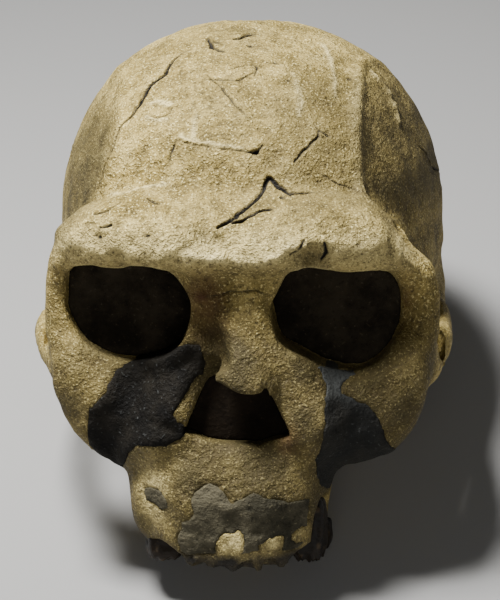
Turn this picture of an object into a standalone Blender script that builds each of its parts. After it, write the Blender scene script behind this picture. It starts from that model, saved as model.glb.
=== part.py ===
"""Fossil hominin skull without its lower jaw: one solid cranium, the dark matrix that closes its eye
sockets and nose, the filler that mends its cheeks and tooth row, and its back teeth.

Every point is worked out in the skull's own frame, in millimetres: x to the viewer's right, y back,
z up, zero midway between the ear openings. to_world then tips it back as it rests without a jaw."""

import bpy
import numpy as np

# Sizes of the whole skull, in millimetres and degrees
GRID_STEP = 2.8
KEEP_SHARE = 0.17
GAP = 0.3
REST_TILT = 23.4
REST_SHIFT = (0.0, 13.6, 35.85)

# Braincase: middle line seen from the side as (y, z, squareness of the cross-section)
BRAINCASE_MIDDLE = (8.0, 30.0)
BRAINCASE_HALF_WIDTHS = {"right": 62.5, "left": 64.5}
MIDDLE_LINE = (
    (-86, 40, 2.6), (-84, 52, 2.6), (-75, 69, 2.5), (-57, 84, 2.4), (-30, 94, 2.3), (2, 99, 2.25),
    (36, 91, 2.25), (61, 72, 2.3), (76, 46, 2.4), (80, 20, 2.6), (70, -3, 2.9), (45, -20, 2.9),
    (12, -25, 2.8), (-25, -12, 2.6), (-55, 5, 2.4), (-78, 25, 2.5),
)

# Bars of bone as (x, y, z, radius), given for the side where x is positive
BROW = ((0, -95, 33.5, 6.6), (10, -96.8, 34.2, 6.8), (22, -96.5, 36, 6.7), (35, -93, 36, 6.4),
        (45, -87.5, 33.5, 6.0), (51.5, -80, 27.5, 5.4))
BROW_SLOPE = ((0, -87, 39, 7.5), (16, -87.5, 41.5, 7.5), (31, -84, 41.5, 7.0), (42, -77, 38, 5.5))
OUTER_PILLAR = ((51.5, -80, 28, 5.4), (53.6, -78, 18, 5.0), (53.4, -79, 7, 5.2), (48, -82, -3, 6.0))
SIDE_OF_NOSE = ((10, -89, 30, 5.5), (12, -90, 14, 6.0), (17, -90, -2, 8.0), (22, -90, -18, 9.0))
ARCH = ((53.5, -75, -2, 5.6), (59.3, -62, 0.5, 4.3), (62.3, -48, 1.5, 3.6), (63.5, -32, 2, 3.3),
        (62.5, -15, 3, 3.6), (60, 0, 4, 5.5))
ARCH_HEIGHT = 1.55
EAR_REGION = ((54.5, 12, 4, 10.5), (54.5, 8, -20, 6.5))
EAR_CREST = ((59, 0, 6, 4.5), (60.5, 18, 12, 4), (59, 36, 20, 2.5))
NECK_CREST = ((0, 78, 13, 5), (26, 72, 13, 5), (46, 56, 12, 4))
TEMPORAL_RIDGE = ((50, -84, 38), (44, -79, 46), (41, -72, 57), (39, -58, 71), (39.5, -38, 81),
                  (42, -12, 86), (47, 15, 80), (50, 35, 68))
RIDGE_HEIGHT, RIDGE_WIDTH = 1.6, 4.5
NOSE_BONES = ((0, -89.5, 29, 5.0), (0.5, -91.5, 19, 4.4), (1.2, -95, 8, 4.6), (1.8, -98, 1, 5.0),
              (2, -99.5, -6, 5.0))
NOSE_FLATNESS = 1.6

# How much further out the left side of the face reaches, and the right less
WIDER_LEFT = 1.5

# The temple behind the muscle line, sunk: (z, x of the line) on each side, and its depth
TEMPLE_LINE = {"right": ((30, 54), (46, 44), (55, 41), (64, 37), (76, 37), (90, 40)),
               "left": ((24, 56.5), (31, 52), (37, 47), (42, 42.5), (48, 38), (56, 35), (68, 35), (90, 38))}
TEMPLE_DEPTH = {"right": 1.8, "left": 2.8}

# Upper jaw, level by level: (z, half width, depth forward of JAW_MIDDLE)
JAW_MIDDLE = (-0.9, -68.0)
JAW_LEVELS = ((-61, 26, 32), (-52, 28, 34.5), (-40, 30, 35.5), (-32, 32, 33), (-24, 36, 29.5),
              (-15, 39, 27), (-4, 40, 22), (8, 30, 18))

# Outlines seen from the front, as (x, z)
NOSE_OUTLINE = ((-14, -19), (-13, -16), (-11, -11), (-8, -4.5), (-6, -3), (-3.5, -3.5), (-0.5, -5),
                (3.5, -6.5), (8, -6.5), (10, -4.5), (11, -7), (14, -13.5), (17, -20), (13.5, -21),
                (7, -23), (-1.5, -23), (-8, -22))
RIGHT_CHEEK_OUTLINE = ((-35.5, -2), (-30, 0), (-20.5, 4), (-13.5, 7.5), (-9.5, 6.5), (-8, 1.5),
                       (-9, -2), (-10.5, -2.5), (-14, -8), (-17.5, -13.5), (-14.5, -16.5),
                       (-13.5, -19), (-15.5, -21.5), (-20, -23), (-24.5, -23.5), (-29, -24.5),
                       (-31, -27), (-34, -34), (-40, -33), (-44, -26), (-44, -22.5), (-44, -18),
                       (-43.5, -14.5), (-38, -8.5))
LEFT_CHEEK_OUTLINE = ((25, 0), (30, -1.5), (36.5, -2.5), (35.5, -4), (32, -5.5), (32, -8), (35, -10),
                      (39.5, -11.5), (43, -15.5), (45, -22.5), (50, -30), (42, -36), (33, -40),
                      (28.5, -40), (25, -36), (24, -27.5), (26.5, -20.5), (27, -14.5), (27, -5))
TOOTH_ROW_OUTLINE = ((-16, -50), (-15, -46), (-11, -42.5), (-12, -38), (-9.5, -35.5), (-6.5, -33),
                     (-2.5, -36), (0, -39), (3.5, -37.5), (6.5, -36), (11, -38), (22.5, -39.5),
                     (22.5, -53), (17.5, -54.5), (5.5, -54), (-15.5, -55.5))
SOCKET_OUTLINE = ((-26.5, -38), (-24.5, -37), (-21.5, -37.5), (-19.8, -39.5), (-19.3, -42), (-21, -42.8),
                  (-23.5, -41.3), (-26.2, -41))
EYE_OUTLINES = {
    "right": ((-50.4, 26), (-44, 29.4), (-34.8, 28.4), (-26.8, 30.2), (-20.2, 28.8), (-16.0, 25.3),
              (-12.9, 20.2), (-12.5, 15.7), (-14, 9.6), (-16.2, 6), (-22, 2.2), (-31.8, 0), (-39.9, 1.8),
              (-45.8, 5.6), (-49.6, 12), (-51.2, 18)),
    "left": ((10.6, 16.8), (12.9, 22.3), (16.2, 28.0), (21.8, 30.2), (26.5, 29.6), (30.1, 28.4),
             (34.5, 27.9), (39.2, 28.7), (43.9, 27.4), (47.8, 24.4), (49.4, 19.5), (49.1, 13),
             (47.6, 7.9), (44.6, 3.0), (40.4, -0.4), (36.7, -1.9), (30.3, -1.1), (25, 0.6),
             (19.8, 3.4), (14.9, 6.1), (12.1, 10.2)),
}
EYE_MIDDLES = {"right": (-31.5, 15.0), "left": (29.8, 14.3)}

# How far back each pocket goes, and the flat front of each matrix plug
EYE_RIM, EYE_FRONT, EYE_BACK, EYE_BACK_SHARE = -79.5, -79.0, -66.0, 0.78
NOSE_FRONT, NOSE_BACK = -91.0, -78.0
CHEEK_BACK, TOOTH_ROW_BACK, SOCKET_BACK = -76.0, -93.0, -86.0

# Back teeth as middle (x, y, z), half sizes and turn in degrees
MOLARS = {
    "right_first": ((-22.0, -81.0, -57.0), (5.2, 6.3, 4.7), -14),
    "right_second": ((-23.6, -67.6, -56.8), (5.4, 5.8, 4.6), -6),
    "left_first": ((22.4, -80.8, -51.5), (5.0, 6.0, 9.9), 14),
    "left_second": ((23.6, -67.6, -56.8), (5.4, 5.8, 4.6), 6),
}
MOLAR_SQUARENESS = 3.2

COLOURS = {
    "bone": (0.43, 0.35, 0.21, 1.0),
    "matrix": (0.018, 0.013, 0.010, 1.0),
    "filler": (0.075, 0.078, 0.075, 1.0),
    "enamel": (0.07, 0.035, 0.022, 1.0),
}


def clear_scene():
    for obj in list(bpy.data.objects):
        bpy.data.objects.remove(obj)


# Fields: negative inside the shape, positive outside, in millimetres


def join(a, b, blend):
    """Both shapes as one, with a fillet about as wide as blend."""
    share = np.clip(0.5 + 0.5 * (b - a) / blend, 0, 1)
    return b + (a - b) * share - blend * share * (1 - share)


def cut(a, b, blend):
    """Shape a without shape b."""
    return -join(-a, b, blend)


def common(a, b, blend):
    """What shapes a and b share."""
    return -join(-a, -b, blend)


def ramp(value, start, end):
    """0 before start, 1 after end, smooth between."""
    t = np.clip((value - start) / (end - start), 0, 1)
    return t * t * (3 - 2 * t)


def turned(u, v, degrees):
    c, s = np.cos(np.radians(degrees)), np.sin(np.radians(degrees))
    return c * u + s * v, -s * u + c * v


def egg(p, middle, radii, yaw=0.0, pitch=0.0, roll=0.0):
    """An ellipsoid, turned about z, x and y in turn."""
    x, y, z = (p[i] - middle[i] for i in range(3))
    x, y = turned(x, y, yaw)
    y, z = turned(y, z, pitch)
    x, z = turned(x, z, roll)
    near = np.sqrt((x / radii[0]) ** 2 + (y / radii[1]) ** 2 + (z / radii[2]) ** 2) + 1e-9
    steep = np.sqrt((x / radii[0] ** 2) ** 2 + (y / radii[1] ** 2) ** 2 + (z / radii[2] ** 2) ** 2)
    return near * (near - 1) / (steep + 1e-9)


def curve_through(points, per_span=4):
    """More points along a smooth curve that passes through the given ones."""
    p = np.array(points, float)
    p = np.vstack([2 * p[0] - p[1], p, 2 * p[-1] - p[-2]])
    t = np.linspace(0, 1, per_span, endpoint=False)[:, None]
    spans = [
        0.5 * (2 * b + (c - a) * t + (2 * a - 5 * b + 4 * c - d) * t**2 + (3 * b - a - 3 * c + d) * t**3)
        for a, b, c, d in zip(p[:-3], p[1:-2], p[2:-1], p[3:])
    ]
    return np.vstack(spans + [p[-2:-1]])


def bar(p, points, height=1.0):
    """A round bar along a curve of (x, y, z, radius). A height over 1 makes it taller than wide."""
    path = curve_through(points)
    nearest = np.full(np.shape(p[0]), 1e9)
    for a, b in zip(path[:-1], path[1:]):
        along = (b - a)[:3] / (1, 1, height)
        rel = [p[0] - a[0], p[1] - a[1], (p[2] - a[2]) / height]
        t = np.clip(sum(rel[i] * along[i] for i in range(3)) / (along @ along), 0, 1)
        away = np.sqrt(sum((rel[i] - along[i] * t) ** 2 for i in range(3)))
        nearest = np.minimum(nearest, away - a[3] - (b[3] - a[3]) * t)
    return nearest


def distance_to(p, points):
    """Distance to a smooth curve of (x, y, z)."""
    return bar(p, [(*point, 0.0) for point in points])


def waves(angle, count):
    both = [turn(k * angle) for k in range(1, count + 1) for turn in (np.cos, np.sin)]
    return np.stack([np.ones_like(angle)] + both, -1)


def braincase(p):
    """A superellipse whose reach and squareness follow smooth waves round the middle line."""
    line = np.array(MIDDLE_LINE, float)
    down, back = line[:, 1] - BRAINCASE_MIDDLE[1], line[:, 0] - BRAINCASE_MIDDLE[0]
    angle = np.arctan2(down, -back)
    reach_waves = np.linalg.lstsq(waves(angle, 6), np.hypot(down, back), rcond=None)[0]
    square_waves = np.linalg.lstsq(waves(angle, 3), line[:, 2], rcond=None)[0]
    table = np.linspace(-np.pi, np.pi, 721)
    y, z = p[1] - BRAINCASE_MIDDLE[0], p[2] - BRAINCASE_MIDDLE[1]
    here = np.arctan2(z, -y)
    reach = np.interp(here, table, waves(table, 6) @ reach_waves)
    power = np.interp(here, table, waves(table, 3) @ square_waves)
    half_width = np.where(p[0] < 0, BRAINCASE_HALF_WIDTHS["right"], BRAINCASE_HALF_WIDTHS["left"])
    wide, far = np.abs(p[0]) / half_width, np.hypot(y, z) / reach
    size = (wide**power + far**power) ** (1 / power)
    return np.sqrt(p[0] ** 2 + y**2 + z**2) * (1 - 1 / np.maximum(size, 0.02))


def upper_jaw(p):
    """A rounded block whose width and depth follow JAW_LEVELS."""
    levels = np.array(JAW_LEVELS, float)
    wide = np.interp(p[2], levels[:, 0], levels[:, 1])
    deep = np.interp(p[2], levels[:, 0], levels[:, 2])
    x, y = p[0] - JAW_MIDDLE[0], p[1] - JAW_MIDDLE[1]
    size = (np.abs(x / wide) ** 2.5 + np.abs(y / deep) ** 2.5) ** 0.4
    block = (size - 1) * np.minimum(wide, deep) * 0.9
    block = common(block, p[1] + 46, 4)
    block = common(block, JAW_LEVELS[0][0] - p[2], 3)
    return common(block, p[2] - 6, 6)


def face_side(p):
    """The face mirrored onto one side; its left is wider than its right by twice WIDER_LEFT."""
    x = np.abs(p[0])
    lean = WIDER_LEFT * np.where(p[0] < 0, 1, -1) * ramp(x, 10, 45) * ramp(-p[1], 45, 72)
    return [x + lean, p[1], p[2]]


def temple_relief(p, q):
    """The ridge along the muscle line, which fades backward, less the hollow beyond it."""
    ridge = RIDGE_HEIGHT * np.exp(-((distance_to(q, TEMPORAL_RIDGE) / RIDGE_WIDTH) ** 2))
    sunk = 0
    for side, here in (("right", p[0] < 0), ("left", p[0] >= 0)):
        height, across = np.array(TEMPLE_LINE[side], float).T
        beyond = np.abs(p[0]) - np.interp(p[2], height, across)
        sunk = sunk + here * TEMPLE_DEPTH[side] * ramp(beyond, 0, 6)
    sunk = sunk * ramp(-p[1], 0, 45) * ramp(p[2], 20, 36) * ramp(-p[2], -88, -62)
    return ridge * ramp(-p[1], -25, 35) - sunk


def bone(p):
    """The cranium before the pockets for matrix, filler and teeth are cut."""
    q = face_side(p)
    f = braincase(p) - temple_relief(p, q)
    f = join(f, egg(q, (0, -80, 16), (14, 14, 20)), 6)
    f = join(f, egg(q, (26, -62, 14), (21, 26, 22)), 6)
    f = join(f, egg(q, (49, -71, 14), (11, 6, 19), yaw=-48), 5)
    f = join(f, egg(q, (27, -84, 38.5), (29, 15, 7)), 6)
    f = join(f, bar(q, BROW_SLOPE), 9)
    f = join(f, bar(q, BROW), 9)
    f = join(f, bar(q, OUTER_PILLAR), 4)
    f = join(f, upper_jaw(p), 6)
    f = join(f, egg(q, (43.5, -79.5, -9), (13, 8, 17), yaw=-28, roll=-18), 6)
    f = join(f, egg(q, (32, -80, -16), (17, 12, 17)), 7)
    f = join(f, bar(q, SIDE_OF_NOSE), 7)
    f = join(f, bar([p[0] / NOSE_FLATNESS, p[1], p[2]], NOSE_BONES), 5)
    f = join(f, bar(q, ARCH, height=ARCH_HEIGHT), 3)
    f = join(f, egg(p, (61.8, -57, 2.5), (3.4, 7, 4.6), roll=-20), 1.2)
    f = join(f, egg(p, (-27.5, -80, -43), (4.5, 11, 11)), 4)
    f = join(f, bar(q, EAR_REGION), 6)
    f = join(f, bar(q, EAR_CREST), 6)
    f = join(f, bar(q, NECK_CREST), 7)
    f = join(f, egg(q, (0, -22, -14), (13, 26, 9)), 6)
    f = join(f, egg(q, (13, 5, -21), (5, 10, 5), yaw=20), 3)
    f = join(f, egg(q, (13, -44, -26), (3.5, 8, 18), pitch=-10), 4)
    f = cut(f, egg(p, (56.1, -92, 40.3), (9, 15, 15), roll=32), 3)
    f = cut(f, egg(p, (-21.5, -93, -61.5), (8.5, 13, 8)), 1.5)
    f = cut(f, egg(p, (22.5, -92, -61), (6.5, 12, 6.5)), 1.5)
    f = cut(f, egg(p, (29, -84, -51), (7.5, 8.5, 11)), 1.5)
    f = cut(f, egg(q, (0, -66, -64), (19, 29, 15)), 2.5)
    f = cut(f, egg(q, (6.5, -41, -22), (5.5, 14, 9)), 2)
    f = cut(f, egg(q, (0, 22, -22), (14, 17, 30)), 3)
    f = cut(f, egg(q, (50, -13, -7), (11, 8, 6)), 4)
    return cut(f, egg(q, (66, 3, -3), (9, 5.5, 5.5)), 3)


def without_pinches(values):
    """Fills the weakest outside corner wherever the shape would meet itself only along an edge."""
    u, v, w = np.eye(3, dtype=int)
    for _ in range(30):
        for corners in ((0 * u, u, v, u + v), (0 * u, u, w, u + w), (0 * u, v, w, v + w)):
            size = np.array(values.shape) - corners[3]
            a, b, c, d = (values[tuple(slice(o, o + n) for o, n in zip(at, size))] < 0 for at in corners)
            cells = np.argwhere((a == d) & (b == c) & (a != b))
            places = cells[:, None] + np.array(corners)[None]
            held = values[tuple(np.moveaxis(places, -1, 0))]
            weakest = np.argmin(np.where(held < 0, np.inf, held), 1)
            values[tuple(places[np.arange(len(cells)), weakest].T)] = -0.01
    return values


def surface_of(field, low, high, step):
    """(points, quads) where the field is zero: one point in each cell that the surface crosses."""
    axes = [np.arange(a, b, step) for a, b in zip(low, high)]
    values = without_pinches(field(np.meshgrid(*axes, indexing="ij")))
    inside = values < 0
    corners = [(i, j, k) for i in (0, 1) for j in (0, 1) for k in (0, 1)]
    size = [n - 1 for n in values.shape]
    count = sum(inside[i:size[0] + i, j:size[1] + j, k:size[2] + k].astype(int) for i, j, k in corners)
    crossed = (count > 0) & (count < 8)
    cells = np.argwhere(crossed)
    at_corner = np.stack([values[tuple((cells + c).T)] for c in corners], 1)
    middle, crossings = np.zeros((len(cells), 3)), np.zeros((len(cells), 1))
    for a, ca in enumerate(np.array(corners)):
        for b, cb in enumerate(np.array(corners)):
            if a < b and np.abs(ca - cb).sum() == 1:
                va, vb = at_corner[:, a:a + 1], at_corner[:, b:b + 1]
                hit = (va < 0) != (vb < 0)
                middle += hit * (ca + (cb - ca) * va / np.where(hit, va - vb, 1))
                crossings += hit
    number = np.full(crossed.shape, -1)
    number[crossed] = np.arange(len(cells))
    quads = [quads_across(inside, number, axis) for axis in range(3)]
    return (cells + middle / crossings) * step + low, np.concatenate(quads)


def quads_across(inside, number, axis):
    """A quad, facing out, for each grid edge along this axis that goes through the surface."""
    inside, number = np.moveaxis(inside, axis, 0), np.moveaxis(number, axis, 0)
    i, j, k = np.nonzero(inside[:-1, 1:-1, 1:-1] != inside[1:, 1:-1, 1:-1])
    quad = np.stack([number[i, j, k], number[i, j + 1, k], number[i, j + 1, k + 1], number[i, j, k + 1]], 1)
    starts_inside = inside[i, j + 1, k + 1] != (axis == 1)
    return np.where(starts_inside[:, None], quad, quad[:, ::-1])


# From the skull's frame to the world


def to_world(points):
    """Millimetres in the skull's frame to metres in the world, face tipped up."""
    p = np.asarray(points, float)
    y, z = turned(p[:, 1], p[:, 2], REST_TILT)
    return (np.stack([p[:, 0], y, z], 1) + REST_SHIFT) * 0.001


def material(name):
    made = bpy.data.materials.get(name) or bpy.data.materials.new(name)
    made.use_nodes = True
    shader = made.node_tree.nodes["Principled BSDF"]
    shader.inputs["Base Color"].default_value = COLOURS[name]
    shader.inputs["Roughness"].default_value = 0.35 if name == "enamel" else 0.85
    return made


def mesh_object(name, points, faces, slot):
    mesh = bpy.data.meshes.new(name)
    mesh.from_pydata(points.tolist(), [], [list(map(int, f)) for f in faces])
    mesh.materials.append(material(slot))
    obj = bpy.data.objects.new(name, mesh)
    bpy.context.scene.collection.objects.link(obj)
    return obj


def as_cutter(obj):
    obj.hide_render = True
    obj.display_type = "WIRE"
    return obj


def boolean(obj, operation, other):
    step = obj.modifiers.new(f"{operation.lower()} {other.name}", "BOOLEAN")
    step.operation, step.object, step.solver = operation, other, "EXACT"


def signed_area(outline):
    x, z = outline[:, 0], outline[:, 1]
    return 0.5 * np.sum(x * np.roll(z, -1) - z * np.roll(x, -1))


def inset(outline, distance):
    """The outline moved in by distance, corner by corner."""
    points = np.array(outline, float)
    if signed_area(points) < 0:
        points = points[::-1]
    edge = np.roll(points, -1, 0) - points
    normal = np.stack([-edge[:, 1], edge[:, 0]], 1) / np.linalg.norm(edge, axis=1)[:, None]
    before = np.roll(normal, 1, 0)
    return points + distance * (normal + before) / (1 + np.sum(normal * before, 1))[:, None]


def swept(name, rings, slot="matrix"):
    """A closed solid through outlines of (x, z), each at its own y, from front to back."""
    count = len(rings[0][0])
    points = np.vstack([np.insert(outline, 1, y, axis=1) for outline, y in rings])
    last = count * (len(rings) - 1)
    faces = [list(range(count)), list(range(last + count - 1, last - 1, -1))]
    faces += [
        [r + i, r + i + count, r + (i + 1) % count + count, r + (i + 1) % count]
        for r in range(0, last, count)
        for i in range(count)
    ]
    return mesh_object(name, to_world(points), faces, slot)


def prism(name, outline, front, back):
    return swept(name, [(outline, front), (outline, back)])


def eye_matrix(cranium, side):
    """Matrix with a flat front, in an eye socket that narrows towards the back. Returns the socket."""
    whole = inset(EYE_OUTLINES[side], 0)
    middle = np.array(EYE_MIDDLES[side])

    def at(y, away):
        share = 1 + (EYE_BACK_SHARE - 1) * max(0, (y - EYE_RIM) / (EYE_BACK - EYE_RIM))
        return inset((whole - middle) * share + middle, away), y

    name = f"orbit_matrix_{side}"
    socket = as_cutter(swept(f"{name}_pocket", [at(-130, 0), at(EYE_RIM, 0), at(EYE_BACK, 0)]))
    boolean(cranium, "DIFFERENCE", socket)
    swept(name, [at(EYE_FRONT, GAP), at(EYE_BACK - GAP, GAP)])
    return socket


def squared(v):
    return np.sign(v) * np.abs(v) ** (2 / MOLAR_SQUARENESS)


def molar(name, middle, half, turn, grow=0.0):
    """A squared egg with four low cusps on its chewing face."""
    rows, around = 9, 16
    tall = np.linspace(-np.pi / 2, np.pi / 2, rows)[1:-1, None]
    wide = np.linspace(0, 2 * np.pi, around, endpoint=False)[None]
    x, y = squared(np.cos(tall)) * squared(np.cos(wide)), squared(np.cos(tall)) * squared(np.sin(wide))
    z = squared(np.sin(tall)) + 0 * wide
    z = z - 0.12 * (z < 0) * np.abs(x * y) + 0.10 * (z < 0) * np.exp(-6 * (x**2 + y**2))
    body = np.stack([x, y, z], -1).reshape(-1, 3)
    points = np.vstack([body, [[0, 0, -0.9], [0, 0, 1.0]]]) * (np.array(half) + grow)
    px, py = turned(points[:, 0], points[:, 1], turn)
    placed = np.stack([px, py, points[:, 2]], 1) + middle
    ring = np.arange(around)
    after = (ring + 1) % around
    faces = [[r * around + a, r * around + b, (r + 1) * around + b, (r + 1) * around + a]
             for r in range(rows - 3) for a, b in zip(ring, after)]
    last = (rows - 3) * around
    low, top = len(body), len(body) + 1
    faces += [[low, b, a] for a, b in zip(ring, after)]
    faces += [[top, last + a, last + b] for a, b in zip(ring, after)]
    return mesh_object(name, to_world(placed), faces, "enamel")


def skull_copy(name, slot):
    """The plain bone as a mesh with fewer, larger faces where it is smooth."""
    obj = mesh_object(name, *BASE, slot)
    fewer = obj.modifiers.new("fewer faces", "DECIMATE")
    fewer.ratio = KEEP_SHARE
    fewer.use_collapse_triangulate = True
    return obj


def fill_flush(cranium, name, outline, back, clear_of=()):
    """Filler that lies flush with the bone: the skull inside the outline, in a pocket of its own."""
    outline = inset(outline, 0)
    boolean(cranium, "DIFFERENCE", as_cutter(prism(f"{name}_pocket", outline, -130, back)))
    piece = skull_copy(name, "filler")
    boolean(piece, "INTERSECT", as_cutter(prism(f"{name}_form", inset(outline, GAP), -125, back - GAP)))
    for pocket in clear_of:
        boolean(piece, "DIFFERENCE", pocket)


def fill_flat(cranium, name, outline, front, back):
    """Matrix with a flat front, set back in its opening."""
    pocket = as_cutter(prism(f"{name}_pocket", inset(outline, 0), -130, back))
    boolean(cranium, "DIFFERENCE", pocket)
    prism(name, inset(outline, GAP), front, back - GAP)
    return pocket


def add_molars(cranium):
    for place, (middle, half, turn) in MOLARS.items():
        socket = molar(f"molar_{place}_socket", middle, half, turn, GAP)
        boolean(cranium, "DIFFERENCE", as_cutter(socket))
        molar(f"molar_{place}", middle, half, turn)


def flatten_rest(cranium):
    """The small worn flats on which the skull stands, at height zero."""
    bpy.ops.mesh.primitive_cube_add(size=0.4, location=(0, 0, -0.2))
    below = bpy.context.object
    below.name = "ground"
    boolean(cranium, "DIFFERENCE", as_cutter(below))


clear_scene()
points, quads = surface_of(bone, (-78, -116, -68), (78, 96, 106), GRID_STEP)
BASE = (to_world(points), quads)
cranium = skull_copy("cranium", "bone")
openings = [eye_matrix(cranium, side) for side in EYE_OUTLINES]
openings.append(fill_flat(cranium, "nose_matrix", NOSE_OUTLINE, NOSE_FRONT, NOSE_BACK))
fill_flush(cranium, "cheek_filler_right", RIGHT_CHEEK_OUTLINE, CHEEK_BACK, openings)
fill_flush(cranium, "cheek_filler_left", LEFT_CHEEK_OUTLINE, CHEEK_BACK, openings)
fill_flush(cranium, "tooth_row_filler", TOOTH_ROW_OUTLINE, TOOTH_ROW_BACK)
fill_flush(cranium, "socket_filler", SOCKET_OUTLINE, SOCKET_BACK)
add_molars(cranium)
flatten_rest(cranium)
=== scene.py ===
# %% [markdown]
# # A fossil skull, grown from fields
# The object is the cranium of an early human, found without its lower jaw. Dark sediment closes its
# eye sockets and its nose, and grey filler mends both cheeks and the front of the tooth row.
#
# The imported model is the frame: it says where everything is. This script replaces each of its plain
# solids with a detailed surface in the same place.

from math import cos, radians, sin

import bmesh
import bpy
import numpy as np
from mathutils import Matrix, Vector


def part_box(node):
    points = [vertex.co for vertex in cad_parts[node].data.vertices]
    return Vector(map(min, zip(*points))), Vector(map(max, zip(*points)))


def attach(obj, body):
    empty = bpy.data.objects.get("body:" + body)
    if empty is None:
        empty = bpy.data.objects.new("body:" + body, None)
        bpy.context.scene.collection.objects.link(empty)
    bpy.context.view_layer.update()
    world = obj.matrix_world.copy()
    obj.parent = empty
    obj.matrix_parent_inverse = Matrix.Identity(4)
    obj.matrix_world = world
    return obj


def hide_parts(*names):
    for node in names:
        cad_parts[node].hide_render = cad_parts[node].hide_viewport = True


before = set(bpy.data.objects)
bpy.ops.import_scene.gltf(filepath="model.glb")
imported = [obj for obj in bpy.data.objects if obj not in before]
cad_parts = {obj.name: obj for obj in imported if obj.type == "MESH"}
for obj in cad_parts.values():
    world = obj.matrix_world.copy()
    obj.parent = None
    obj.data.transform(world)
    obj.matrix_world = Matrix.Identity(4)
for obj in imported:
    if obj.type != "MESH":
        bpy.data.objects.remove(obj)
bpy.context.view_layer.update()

# %% [markdown]
# ## The skull's own frame
# Anatomists set a skull level: eye-socket floor and ear openings at one height. All shapes below are
# written in that frame, in millimetres: x to the viewer's right, y back, z up, zero between the ears.
# Without its jaw the skull tips back until it stands on the ends of its tooth row and on its neck
# region, so one turn about x and one shift bring every point to where it rests.

# %% From the skull's frame to the world
REST_TILT = 23.4
REST_SHIFT = np.array([0.0, 13.6, 35.85])


def turned(u, v, degrees):
    """The pair (u, v) in axes turned by that angle."""
    c, s = np.cos(np.radians(degrees)), np.sin(np.radians(degrees))
    return c * u + s * v, -s * u + c * v


def to_world(points):
    """Millimetres in the skull's frame to metres in the world."""
    p = np.asarray(points, float).reshape(-1, 3)
    y, z = turned(p[:, 1], p[:, 2], REST_TILT)
    return (np.stack([p[:, 0], y, z], 1) + REST_SHIFT) * 0.001


# %% [markdown]
# ## Camera
# The face fills most of a portrait frame and shows little perspective, so the lens is long: about
# 120 mm from 60 cm away. The camera stands a little to the skull's left and a little above it.

# %% Camera
IMAGE = (500, 600)
AIM = np.array([0.0, -95.0, 20.0])
AIM_PIXEL = (233.0, 300.0)
CAMERA_SIDE, CAMERA_RISE, CAMERA_AWAY, FOCAL_PIXELS = 3.5, 9.0, 600.0, 2058.0


def camera_axes():
    """Right, up and backward directions of the camera, in the skull's frame."""
    a, e = radians(CAMERA_SIDE), radians(CAMERA_RISE)
    back = np.array([sin(a) * cos(e), -cos(a) * cos(e), sin(e)])
    right = np.array([cos(a), sin(a), 0.0])
    return right, np.cross(back, right), back


def place_camera():
    right, up, back = camera_axes()
    origin = to_world(np.zeros(3))[0]
    directions = [Vector(to_world(axis)[0] - origin).normalized() for axis in (right, up, back)]
    data = bpy.data.cameras.new("camera")
    data.sensor_width, data.sensor_fit = 36.0, "AUTO"
    data.lens = 36.0 * FOCAL_PIXELS / IMAGE[1]
    data.shift_x = (IMAGE[0] / 2 - AIM_PIXEL[0]) / IMAGE[1]
    data.clip_start = 0.01
    camera = bpy.data.objects.new("camera", data)
    bpy.context.scene.collection.objects.link(camera)
    stand = Matrix.Translation(to_world(AIM + back * CAMERA_AWAY)[0])
    camera.matrix_world = stand @ Matrix(directions).transposed().to_4x4()
    bpy.context.scene.camera = camera
    return camera


camera = place_camera()
print("lens", round(camera.data.lens, 1), "mm")

# %% [markdown]
# ## Why fields
# A skull is many rounded masses that flow into each other, with arches and holes through it. No
# single two-way grid can follow that. So each mass is a field: a number at every point of space,
# negative inside and positive outside, in millimetres. Fields blend with one formula, and the
# surface is found afterwards, where the number is zero.

# %% Ways to combine fields


def join(a, b, blend):
    """The smaller of two fields, less blend * share * (1 - share): a fillet about as wide as blend."""
    share = np.clip(0.5 + 0.5 * (b - a) / blend, 0, 1)
    return b + (a - b) * share - blend * share * (1 - share)


def cut(a, b, blend):
    """Shape a without shape b."""
    return -join(-a, b, blend)


def common(a, b, blend):
    """What both shapes share."""
    return -join(-a, -b, blend)


def ramp(value, start, end):
    """0 before start, 1 after end, smooth between: 3 t^2 - 2 t^3."""
    t = np.clip((value - start) / (end - start), 0, 1)
    return t * t * (3 - 2 * t)


def egg(p, middle, radii, yaw=0.0, pitch=0.0, roll=0.0):
    """An ellipsoid: k (k - 1) / g, with k the scaled distance and g its steepness."""
    x, y, z = (p[i] - middle[i] for i in range(3))
    x, y = turned(x, y, yaw)
    y, z = turned(y, z, pitch)
    x, z = turned(x, z, roll)
    near = np.sqrt((x / radii[0]) ** 2 + (y / radii[1]) ** 2 + (z / radii[2]) ** 2) + 1e-9
    steep = np.sqrt((x / radii[0] ** 2) ** 2 + (y / radii[1] ** 2) ** 2 + (z / radii[2] ** 2) ** 2)
    return near * (near - 1) / (steep + 1e-9)


def curve_through(points, per_span=4):
    """Catmull-Rom: a smooth curve that passes through the given points."""
    p = np.array(points, float)
    p = np.vstack([2 * p[0] - p[1], p, 2 * p[-1] - p[-2]])
    t = np.linspace(0, 1, per_span, endpoint=False)[:, None]
    spans = [
        0.5 * (2 * b + (c - a) * t + (2 * a - 5 * b + 4 * c - d) * t**2 + (3 * b - a - 3 * c + d) * t**3)
        for a, b, c, d in zip(p[:-3], p[1:-2], p[2:-1], p[3:])
    ]
    return np.vstack(spans + [p[-2:-1]])


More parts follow.
